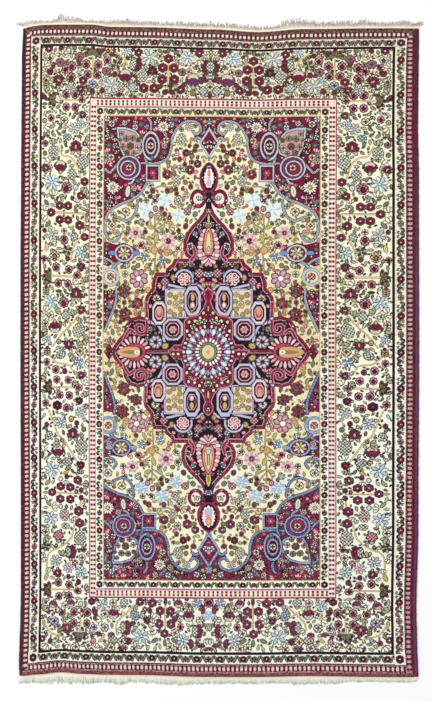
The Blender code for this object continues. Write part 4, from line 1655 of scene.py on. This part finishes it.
def dye_of_knot(look):
    """The dye number of the knot at a place, taken out of its face's numbers."""
    s, t, _ = look.split(look.map(STITCH_MAP))
    column = (s * KNOTS_ACROSS_FACE).floor().held(0, KNOTS_ACROSS_FACE - 1)
    row = (t * KNOTS_ALONG_FACE).floor().held(0, KNOTS_ALONG_FACE - 1)
    right = column > (KNOTS_IN_GROUP - 0.5)
    place = column - right * KNOTS_IN_GROUP
    packed = 0
    for i in range(KNOTS_ALONG_FACE):
        left_dyes = look.number(group_name(i, 0))
        right_dyes = look.number(group_name(i, 1))
        of_row = left_dyes + (right_dyes - left_dyes) * right
        packed = packed + of_row * look.node("Math", {"operation": "COMPARE"}, (row, i, 0.5))
    divisor = 1
    for i in range(1, KNOTS_IN_GROUP):
        divisor = divisor + (place > (i - 0.5)) * (MOST_DYES ** i - MOST_DYES ** (i - 1))
    return ((packed + 0.5) / divisor).floor() % MOST_DYES


# On the back, below these heights, the cotton wefts show as lines between the rows of knots.
BACK_HEIGHTS = (0.0004, 0.0009)
BACK_COTTON = Dye("cotton", 214, 204, 178)
WEFT_FROM = 0.78
WEFT_COVER = 0.55


def pile_look():
    """Wool in the knots' dyes, each knot a little knob of its own tone, in lighter and darker rows."""
    look = Look("pile_wool", 0.85, sheen=0.12)
    wool = look.chosen(dye_of_knot(look), [linear(dye) for dye in DYES])

    spot = look.place()
    u, v, _ = look.split(look.map(CARTOON_MAP))
    knot = look.joined((u * KNOT_COLUMNS).floor(), (v * KNOT_ROWS).floor())
    each = look.node("TexWhiteNoise", {"noise_dimensions": "2D"}, {"Vector": knot})
    bands = look.noise(look.stretched(spot, (0.6, 38.0, 0.0)), 1.0, 3.0, 0.6)
    patches = look.noise(spot, 9.0, 3.0, 0.6)
    tufts = look.noise(spot, 420.0, 2.0, 0.6)
    brightness = 0.72 + each * 0.10 + bands * 0.12 + patches * 0.10 + tufts * 0.12
    colour = look.shaded(wool, brightness)

    _, _, z = look.split(spot)
    back = 1 - z.step(*BACK_HEIGHTS)
    on_weft = ((v * KNOT_ROWS).part() > WEFT_FROM) * WEFT_COVER
    colour = look.mix(back * on_weft, colour, linear(BACK_COTTON))
    look.finish("Base Color", colour)

    s, t, _ = look.split(look.map(STITCH_MAP))
    p = (s * KNOTS_ACROSS_FACE).part() - 0.5
    q = (t * KNOTS_ALONG_FACE).part() - 0.5
    knob = 1 - (p * p + q * q) * 1.6
    look.finish("Roughness", 0.82 + tufts * 0.12)
    look.bumped(knob * 0.6 + tufts * 0.8 + each * 0.4, 0.35, 0.0008)
    return look.material


# Colours of the side cords and of the cotton, from the rug's end or from the seam outwards. The deep purple
# on the right cord's outer side is partly its own dye and partly painted shade, and the cotton's grey
# towards its tips is painted shade.
LEFT_WRAPS = (Dye("brown black", 46, 32, 28), Dye("brown wine", 72, 42, 50))
RIGHT_WRAPS = (Dye("dark red", 92, 24, 46), Dye("purple wine", 108, 54, 84))
RIGHT_SIDES = (Dye("deep purple with painted shade", 44, 18, 52), Dye("inner red", 96, 28, 52))
# Between which heights along the rug the lower colour of a cord turns into the upper one.
LEFT_FADE = (0.7, 1.05)
RIGHT_FADE = (0.1, 0.8)
# Each cotton's colours from the rug's end to the tips. The grey that they turn towards the tips is painted
# shade, for the shadows among the clumps of strands.
TOP_COTTON = table(Dye, [
    ("warm cream", 236, 222, 204), ("pale grey", 210, 204, 190), ("grey tip", 158, 156, 144),
])
BOTTOM_COTTON = table(Dye, [
    ("light cream", 255, 249, 236), ("greenish", 250, 249, 233), ("grey green", 232, 235, 217),
])
# Between which distances from a double cord's outer side its purple, partly painted shade, gives way, and
# then its middle tone.
PURPLE_FADE = (0.13, 0.24)
MIDDLE_FADE = (0.27, 0.38)
WRAP_MAP = "wrap"
STRAND_SHARE = "strand_share"
STRAND_TONE = "strand_tone"


def cord_look(name, wraps, fade, side=None):
    """Wool wrapped round and round: each wrap its own tone, painted lighter on its crown and darker in the
    grooves between wraps as painted shade, with the plies of the yarn across it.
    """
    look = Look(name, 0.8, sheen=0.15)
    turns, around, _ = look.split(look.map(WRAP_MAP))
    spot = look.place()
    _, y, _ = look.split(spot)
    phase = turns + around
    each = look.node("TexWhiteNoise", {"noise_dimensions": "1D"}, {"W": phase.floor()})
    hill = 1 - ((phase.part() - 0.5) * (phase.part() - 0.5)) * 4
    plies = (phase * 5.0 + around * 9.0).part()
    fuzz = look.noise(spot, 900.0, 3.0, 0.6)
    wear = look.noise(spot, 14.0, 3.0, 0.6)
    near_end = y.step(*fade)
    colour = look.mix(near_end, linear(wraps[1]), linear(wraps[0]))
    if side:
        # The outer side of a double cord is deep purple: partly its own dye, partly painted shade where
        # that side turns away from the light.
        from_side = around.math("ABSOLUTE", around - 0.5)
        inner = look.mix(near_end, linear(side[1]), linear(wraps[0]))
        colour = look.mix(from_side.step(*MIDDLE_FADE), colour, inner)
        colour = look.mix(from_side.step(*PURPLE_FADE), linear(side[0]), colour)
    # Painted shade: hill makes each wrap's crown lighter and the groove between two wraps darker. It also
    # raises the bump.
    brightness = 0.5 + hill * 0.35 + each * 0.34 + fuzz * 0.2 + wear * 0.15
    look.finish("Base Color", look.shaded(colour, brightness))
    look.finish("Roughness", 0.74 + fuzz * 0.2)
    look.bumped(plies * 0.3 + fuzz * 0.5 + hill * 0.4, 0.5, 0.0006)
    return look.material


def cotton_look(name, cottons):
    """Loose cotton, cream where it leaves the rug and greyer towards the tips: painted shade for the
    shadows among its clumps.
    """
    look = Look(name, 0.85, sheen=0.1)
    share = look.number(STRAND_SHARE)
    tone = look.number(STRAND_TONE)
    spot = look.place()
    fuzz = look.noise(spot, 1100.0, 3.0, 0.6)
    rows = {"wave_type": "BANDS", "bands_direction": "Y"}
    weave = look.node("TexWave", rows, {"Vector": spot, "Scale": 190.0})
    plies = look.noise(look.stretched(spot, (1800.0, 500.0, 900.0)), 1.0, 2.0, 0.5)
    colour = look.mix(share.step(0.1, 0.55), linear(cottons[0]), linear(cottons[1]))
    colour = look.mix(share.step(0.5, 1.0), colour, linear(cottons[2]))
    # Painted shade: some strands, chosen by their own tone, are painted darker towards their tips.
    painted_tip_shade = (1 - tone) * (1 - tone) * (1 - tone) * share
    brightness = 0.97 - painted_tip_shade * 0.86 + fuzz * 0.10 + plies * 0.06
    look.finish("Base Color", look.shaded(colour, brightness))
    look.finish("Roughness", 0.78 + fuzz * 0.16)
    on_band = 1 - share.step(0.0, ROOT_SHARE)
    look.bumped(plies * 0.5 + fuzz * 0.3 + weave * on_band * 0.8, 0.5, 0.0005)
    return look.material


# ---------------------------------------------------------------------------- pieces


def new_piece(name, bm, material):
    mesh = bpy.data.meshes.new(name)
    bm.to_mesh(mesh)
    bm.free()
    mesh.materials.append(material)
    piece = bpy.data.objects.new(name, mesh)
    bpy.context.scene.collection.objects.link(piece)
    return piece


def find_middle():
    """The middle of the CAD's own box in the outline's numbers, from the pile's lowest corner."""
    edge = np.linspace(-1, 1, 2001)
    xs, ys = laid(np.concatenate([edge * 0 - 1, edge]), np.concatenate([edge, edge * 0 - 1]))
    low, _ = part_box("rug_body")
    return xs.min() - low[0], ys.min() - low[1]


# The rim is where two faces meet at more than this angle.
RIM_ANGLE = math.radians(60)
RIM_ROUNDING = 0.0018
RIM_STEPS = 3
# How far the pile's top rises and sinks around its mean height. The highest swell has the full thickness.
SWELL_HEIGHT = 0.0004
SWELL_MOST = 1.6


def swell(x, y):
    """Long shallow waves over the pile, and shorter ones along it."""
    return math.sin(9.0 * x + 2.0) * math.sin(7.0 * y) + 0.6 * math.sin(23.0 * y + 5.0 * x)


def smooth(bm):
    for face in bm.faces:
        face.smooth = True


def build_pile(knots, middle):
    """The pile and its foundation: a sheet with some knots on each face, made thick, its rim sheared."""
    bm = bmesh.new()
    bmesh.ops.create_grid(bm, x_segments=FACES_ACROSS, y_segments=FACES_ALONG, size=1)
    stitch = bm.loops.layers.uv.new(STITCH_MAP)
    cartoon = bm.loops.layers.uv.new(CARTOON_MAP)
    packed = packed_knots(knots)
    keeps = {
        (row, group): bm.faces.layers.float.new(group_name(row, group))
        for row in range(KNOTS_ALONG_FACE)
        for group in range(2)
    }
    for face in bm.faces:
        middle_x, middle_y, _ = face.calc_center_median()
        column = int((middle_x + 1) / 2 * FACES_ACROSS)
        row = int((middle_y + 1) / 2 * FACES_ALONG)
        for (knot_row, group), layer in keeps.items():
            face[layer] = float(packed[row, knot_row, column, group])
        for loop in face.loops:
            x, y, _ = loop.vert.co
            loop[stitch].uv = (float(x > middle_x), float(y > middle_y))
            loop[cartoon].uv = ((x + 1) / 2, (y + 1) / 2)
    flat = np.array([vert.co for vert in bm.verts])
    xs, ys = laid(flat[:, 0], flat[:, 1])
    for vert, x, y in zip(bm.verts, xs, ys):
        vert.co = (x - middle[0], y - middle[1], 0.0)
    raised = bmesh.ops.extrude_face_region(bm, geom=bm.faces[:] + bm.edges[:], use_keep_orig=True)
    for vert in raised["geom"]:
        if isinstance(vert, bmesh.types.BMVert):
            x, y, _ = vert.co
            vert.co.z = PILE_THICKNESS - SWELL_HEIGHT + SWELL_HEIGHT * swell(x, y) / SWELL_MOST
    bmesh.ops.recalc_face_normals(bm, faces=bm.faces[:])
    rim = [edge for edge in bm.edges if edge.calc_face_angle(0.0) > RIM_ANGLE]
    bmesh.ops.bevel(
        bm, geom=rim, affect="EDGES", offset=RIM_ROUNDING, segments=RIM_STEPS, profile=0.5, material=-1
    )
    lay_out_bake(bm)
    smooth(bm)
    return new_piece("rug_pile", bm, pile_look())


# Where the top, the back and the four sides go on the square of the bake map.
TOP_CHART = (0.0, 0.795)
BACK_CHART = (0.800, 0.965)
LEFT_STRIP = (0.970, 0.976)
RIGHT_STRIP = (0.981, 0.987)
END_STRIP = (0.992, 0.998)
# The two ends share a strip: where the top end starts on it, and how long each one is.
TOP_END_START = 0.505
END_LENGTH = 0.495
# A face whose normal is steeper than this belongs to the top or the back.
FACING_UP = 0.4


def share_of(span, value):
    """How far a value lies along a span from its low end, from 0 to 1."""
    return (value - span[0]) / (span[1] - span[0])


def place_on(span, share):
    return span[0] + (span[1] - span[0]) * share


def lay_out_bake(bm):
    chart = bm.loops.layers.uv.new(BAKE_MAP)
    xs, ys, _ = np.array([vert.co for vert in bm.verts]).T
    width = (xs.min(), xs.max())
    length = (ys.min(), ys.max())
    for face in bm.faces:
        normal = face.normal
        for loop in face.loops:
            x, y, z = loop.vert.co
            across = share_of(width, x)
            along = share_of(length, y)
            height = z / PILE_THICKNESS
            if normal.z > FACING_UP:
                place = (along, place_on(TOP_CHART, across))
            elif normal.z < -FACING_UP:
                place = (along, place_on(BACK_CHART, across))
            elif abs(normal.x) > abs(normal.y):
                place = (along, place_on(RIGHT_STRIP if normal.x > 0 else LEFT_STRIP, height))
            else:
                start = TOP_END_START if normal.y > 0 else 0.0
                place = (start + across * END_LENGTH, place_on(END_STRIP, height))
            loop[chart].uv = place


# ---------------------------------------------------------------------------- side cords and fringes

WRAP_PITCH = 0.0032
RINGS_PER_WRAP = 4
# Sizes of a cord's section, as shares of its full height or width.
WRAP_SIZE = 0.94
WRAP_DEPTH = 0.15
WRAP_UNEVEN = 0.03
CORD_WAIST = 0.62
CORD_TIP = (0.55, 0.82, 0.94)


def cord_section(angle, width, cords):
    """Where the places round a side cord lie from its middle line: one oval, or two run together."""
    across = np.cos(angle)
    height = np.abs(np.sin(angle))
    if cords == 2:
        from_own_middle = np.abs(across) * 2 - 1
        height = np.sqrt(np.clip(1 - from_own_middle ** 2, 0, 1))
        height = np.where(np.abs(across) < 0.5, np.maximum(height, CORD_WAIST), height)
    return across * width / 2, np.sign(np.sin(angle)) * height * CORD_HEIGHT / 2


def build_cord(name, middle, line_x, width, cords, sides, material):
    """A side cord overcast with yarn, which swells at each wrap."""
    bm = bmesh.new()
    end = HALF_LENGTH - CORD_END_GAP
    wraps = round(2 * end / WRAP_PITCH)
    rings = wraps * RINGS_PER_WRAP
    bmesh.ops.create_grid(bm, x_segments=sides, y_segments=rings, size=1)
    wrap_map = bm.loops.layers.uv.new(WRAP_MAP)
    for face in bm.faces:
        for loop in face.loops:
            x, y, _ = loop.vert.co
            loop[wrap_map].uv = ((y + 1) / 2 * wraps, (x + 1) / 2)
    flat = np.array([vert.co for vert in bm.verts])
    around = (flat[:, 0] + 1) / 2
    share = (flat[:, 1] + 1) / 2
    across, height = cord_section(flat[:, 0] * math.pi, width, cords)
    bulge = np.abs(np.sin(math.pi * (share * wraps + around))) ** 0.7
    uneven = np.sin(share * 611.0) * WRAP_UNEVEN + np.sin(share * 257.0 + 1.0) * WRAP_UNEVEN
    from_tip = np.round(np.minimum(share, 1 - share) * rings).astype(int)
    tip = np.array([*CORD_TIP, 1.0])[np.minimum(from_tip, len(CORD_TIP))]
    size = (WRAP_SIZE - WRAP_DEPTH * (1 - bulge) + uneven) * tip
    xs, ys = woven(line_x + across * size, flat[:, 1] * end)
    zs = CORD_HEIGHT / 2 + height * size
    for vert, x, y, z in zip(bm.verts, xs, ys, zs):
        vert.co = (x - middle[0], y - middle[1], z)
    bmesh.ops.remove_doubles(bm, verts=bm.verts[:], dist=0.00001)
    bmesh.ops.holes_fill(bm, edges=[edge for edge in bm.edges if edge.is_boundary], sides=0)
    bmesh.ops.recalc_face_normals(bm, faces=bm.faces[:])
    smooth(bm)
    return new_piece(name, bm, material)


# The fringes, from the rug's left to its right: how far the tufts reach and how far their tips lean.
TOP_FRINGE = table(FringeRow, [
    (-650, 27, -28), (-600, 27, -9), (-560, 17, -1), (-520, 41, -5), (-480, 30, 4), (-440, 19, 0),
    (-325, 31, 3), (-210, 23, -3), (-90, 29, 2), (80, 27, -2), (180, 23, 0), (225, 44, -5),
    (265, 40, 4), (330, 31, 2), (460, 33, 3), (520, 26, 3), (600, 31, 8), (650, 28, 20),
])
BOTTOM_FRINGE = table(FringeRow, [
    (-650, 28, -5), (-520, 40, 0), (-440, 38, 3), (-360, 30, 0), (-325, 38, -2), (-285, 29, 2),
    (-130, 34, 3), (-40, 26, 0), (180, 27, -3), (290, 33, 0), (380, 29, 2), (430, 21, 0), (560, 20, -3),
    (650, 19, -6),
])

STRANDS = 2300
STRAND_CUTS = 6
STRAND_RADIUS = 0.00052
STRAND_ROOT = 0.0030
STRAND_THINNING = 0.35
# Each strand sways from side to side in waves of its own, and here and there it rises off the floor.
SWAYS = (0.0004, 0.0024)
SWAY_TURNS = (0.5, 1.6)
LIFTS = (0.0, 0.0014)
LEAN_SPREAD = 0.0008
# The clumps: how wide they are, how far they lean, how far they reach and how much they draw together.
CLUMP_WIDTHS = (0.003, 0.016)
CLUMP_LEANS = (-0.0016, 0.0016)
CLUMP_REACHES = (0.84, 1.02)
CLUMP_DRAW = 0.16
# How short the shortest strands are, as a share of the longest beside them, and how long the longest.
RAGGED_TOP = 0.54
RAGGED_BOTTOM = 0.78
LONGEST = 1.02
# The woven band: its length, its lowest and highest places, and its tone.
BAND_LENGTH = 0.0050
BAND_FOOT = 0.0002
BAND_TOP = 0.0019
BAND_FACES = 260
BAND_TONE = 0.7
BAND_WAVE = 0.0006
# What a strand's share starts from, so that the material can tell it from the band, where the share is 0.
ROOT_SHARE = 0.02


def straight_strand():
    """One strand of four sides along Z, cut so that it can bend."""
    bm = bmesh.new()
    bmesh.ops.create_cone(bm, cap_ends=True, segments=4, radius1=1.0, radius2=1.0, depth=1.0)
    sides = [edge for edge in bm.edges if abs(edge.verts[0].co.z - edge.verts[1].co.z) > 0.5]
    bmesh.ops.subdivide_edges(bm, edges=sides, cuts=STRAND_CUTS, use_grid_fill=True)
    mesh = bpy.data.meshes.new("strand")
    bm.to_mesh(mesh)
    bm.free()
    return mesh


def lay_strand(places, share, chance, clump, end, rows):
    """Bends one straight strand from the rug's end to its tip, and gives the new places of its points."""
    root_x = -HALF_WIDTH + 2 * HALF_WIDTH * share
    clump_lean, clump_reach, clump_x = clump
    ragged = RAGGED_TOP if end > 0 else RAGGED_BOTTOM
    own_reach = ragged + (LONGEST - ragged) * chance.random() ** 1.5
    reach = read_row(rows, root_x / MM, "reach_mm") * MM * clump_reach * own_reach
    lean = read_row(rows, root_x / MM, "lean_mm") * MM + clump_lean + chance.gauss(0, LEAN_SPREAD)
    sway = chance.uniform(*SWAYS)
    turns = chance.uniform(*SWAY_TURNS)
    start = chance.uniform(0, 2 * math.pi)
    lift = chance.uniform(*LIFTS)
    t = places[:, 2] + 0.5
    x = root_x + (clump_x - root_x) * CLUMP_DRAW * t + lean * t ** 1.5
    x = x + sway * np.sin(2 * math.pi * turns * t + start) * t
    y = HALF_LENGTH + SEAM_GAP + STRAND_ROOT + (reach - STRAND_ROOT) * t
    falls = np.clip(1 - t * 2.2, 0, 1) ** 2
    z = STRAND_RADIUS + (BAND_TOP - 3 * STRAND_RADIUS) * falls
    z = z + lift * (1 - falls) * np.abs(np.sin(math.pi * turns * t + start))
    thin = STRAND_RADIUS * (1 - STRAND_THINNING * t)
    xs, ys = woven(x + places[:, 0] * thin, end * y)
    return np.stack([xs, ys, np.maximum(z + places[:, 1] * thin, 0)], axis=1)


def build_fringe(name, middle, end, rows, material, seed):
    """Loose warp ends in clumps, and the narrow woven band that they leave. end is 1 or -1."""
    chance = random.Random(seed)
    strand = straight_strand()
    bm = bmesh.new()
    for _ in range(STRANDS):
        bm.from_mesh(strand)
    bpy.data.meshes.remove(strand)
    share_layer = bm.verts.layers.float.new(STRAND_SHARE)
    tone_layer = bm.verts.layers.float.new(STRAND_TONE)
    points = np.array([vert.co for vert in bm.verts]).reshape(STRANDS, -1, 3)
    borders = [0.0]
    while borders[-1] < 2 * HALF_WIDTH:
        borders.append(borders[-1] + chance.uniform(*CLUMP_WIDTHS))
    clumps = {}
    laid_points = []
    tones = []
    for i in range(STRANDS):
        share = (i + chance.uniform(0.1, 0.9)) / STRANDS
        number = bisect.bisect(borders, 2 * HALF_WIDTH * share)
        if number not in clumps:
            clump_x = -HALF_WIDTH + (borders[number - 1] + borders[number]) / 2
            clumps[number] = (chance.uniform(*CLUMP_LEANS), chance.uniform(*CLUMP_REACHES), clump_x)
        laid_points.append(lay_strand(points[i], share, chance, clumps[number], end, rows))
        tones.append(chance.random())
    tones = np.repeat(tones, points.shape[1])
    for vert, place, tone in zip(bm.verts, np.concatenate(laid_points), tones):
        vert[share_layer] = ROOT_SHARE + (1 - ROOT_SHARE) * (vert.co.z + 0.5)
        vert[tone_layer] = tone
        vert.co = (place[0] - middle[0], place[1] - middle[1], place[2])
    strands_faces = len(bm.faces)
    band = bmesh.ops.create_grid(bm, x_segments=BAND_FACES, y_segments=3, size=1)["verts"]
    flat = np.array([vert.co for vert in band])
    length = (flat[:, 1] + 1) / 2 * BAND_LENGTH
    length = length + np.where(flat[:, 1] > 0.9, BAND_WAVE * np.sin(flat[:, 0] * 301.0), 0)
    xs, ys = woven(flat[:, 0] * HALF_WIDTH, end * (HALF_LENGTH + SEAM_GAP + length))
    for vert, x, y in zip(band, xs, ys):
        vert[tone_layer] = BAND_TONE
        vert.co = (x - middle[0], y - middle[1], BAND_FOOT)
    band_faces = bm.faces[strands_faces:]
    top = bmesh.ops.extrude_face_region(bm, geom=band_faces, use_keep_orig=True)
    raised = [item for item in top["geom"] if isinstance(item, bmesh.types.BMVert)]
    bmesh.ops.translate(bm, verts=raised, vec=(0, 0, BAND_TOP - BAND_FOOT))
    bmesh.ops.recalc_face_normals(bm, faces=bm.faces[:])
    smooth(bm)
    return new_piece(name, bm, material)


# ---------------------------------------------------------------------------- floor, light and camera

# The photograph: its height in pixels, the size of a pixel on the rug, and the place at its middle.
PHOTO_HEIGHT = 701
PIXEL = 0.00327
VIEW_X = -0.01226
VIEW_Y = 0.0057
SENSOR_HEIGHT = 24.0
LENS = 85.0
FLOOR_SIZE = 9.0
FLOOR_GREY = (0.93, 0.93, 0.93)
DAYLIGHT = 0.62
# The softbox: its place, its width and length, and its power.
SOFTBOX_PLACE = (-3.0, 3.5, 5.5)
SOFTBOX_SIZE = (4.5, 4.5)
SOFTBOX_POWER = 420.0


def build_floor():
    bm = bmesh.new()
    bmesh.ops.create_grid(bm, x_segments=1, y_segments=1, size=FLOOR_SIZE)
    look = Look("pale_floor", 0.9)
    look.finish("Base Color", FLOOR_GREY)
    new_piece("floor", bm, look.material)


def add_softbox():
    light = bpy.data.lights.new("softbox", "AREA")
    light.shape = "RECTANGLE"
    light.size, light.size_y = SOFTBOX_SIZE
    light.energy = SOFTBOX_POWER
    softbox = bpy.data.objects.new("softbox", light)
    bpy.context.scene.collection.objects.link(softbox)
    softbox.location = SOFTBOX_PLACE
    to_rug = -mathutils.Vector(SOFTBOX_PLACE)
    softbox.rotation_euler = to_rug.to_track_quat("-Z", "Y").to_euler()


def add_camera(middle):
    data = bpy.data.cameras.new("camera")
    data.sensor_fit = "VERTICAL"
    data.sensor_height = SENSOR_HEIGHT
    data.lens = LENS
    data.clip_end = 100.0
    camera = bpy.data.objects.new("camera", data)
    distance = PHOTO_HEIGHT * PIXEL * LENS / SENSOR_HEIGHT
    camera.location = (VIEW_X - middle[0], VIEW_Y - middle[1], distance + PILE_THICKNESS)
    bpy.context.scene.collection.objects.link(camera)
    bpy.context.scene.camera = camera


def add_daylight():
    world = bpy.data.worlds.new("studio")
    world.use_nodes = True
    background = world.node_tree.nodes["Background"]
    background.inputs["Color"].default_value = (1.0, 1.0, 1.0, 1.0)
    background.inputs["Strength"].default_value = DAYLIGHT
    bpy.context.scene.world = world
    bpy.context.scene.view_settings.view_transform = "Standard"


# ---------------------------------------------------------------------------- making it all

middle = find_middle()
add_camera(middle)
add_daylight()
build_floor()
add_softbox()
pile = build_pile(draw_cartoon(), middle)
left_wool = cord_look("left_overcasting", LEFT_WRAPS, LEFT_FADE)
right_wool = cord_look("right_overcasting", RIGHT_WRAPS, RIGHT_FADE, RIGHT_SIDES)
left_line = -HALF_WIDTH + LEFT_CORD_WIDTH / 2
right_line = HALF_WIDTH - RIGHT_CORD_WIDTH / 2
left_cord = build_cord("left_side_cord", middle, left_line, LEFT_CORD_WIDTH, 1, 12, left_wool)
right_cord = build_cord("right_side_cord", middle, right_line, RIGHT_CORD_WIDTH, 2, 18, right_wool)
top_cotton = cotton_look("upper_cotton", TOP_COTTON)
bottom_cotton = cotton_look("lower_cotton", BOTTOM_COTTON)
top_fringe = build_fringe("upper_fringe", middle, 1, TOP_FRINGE, top_cotton, 31)
bottom_fringe = build_fringe("lower_fringe", middle, -1, BOTTOM_FRINGE, bottom_cotton, 37)

# Each piece, the node of the frame that it replaces, and its material slot.
for piece, node, slot in (
    (pile, "rug_body", "pile_wool"),
    (left_cord, "selvedge_left", "selvedge_wool"),
    (right_cord, "selvedge_right", "selvedge_wool"),
    (top_fringe, "fringe_top", "fringe_cotton"),
    (bottom_fringe, "fringe_bottom", "fringe_cotton"),
):
    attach(piece, "root")
    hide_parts(node)
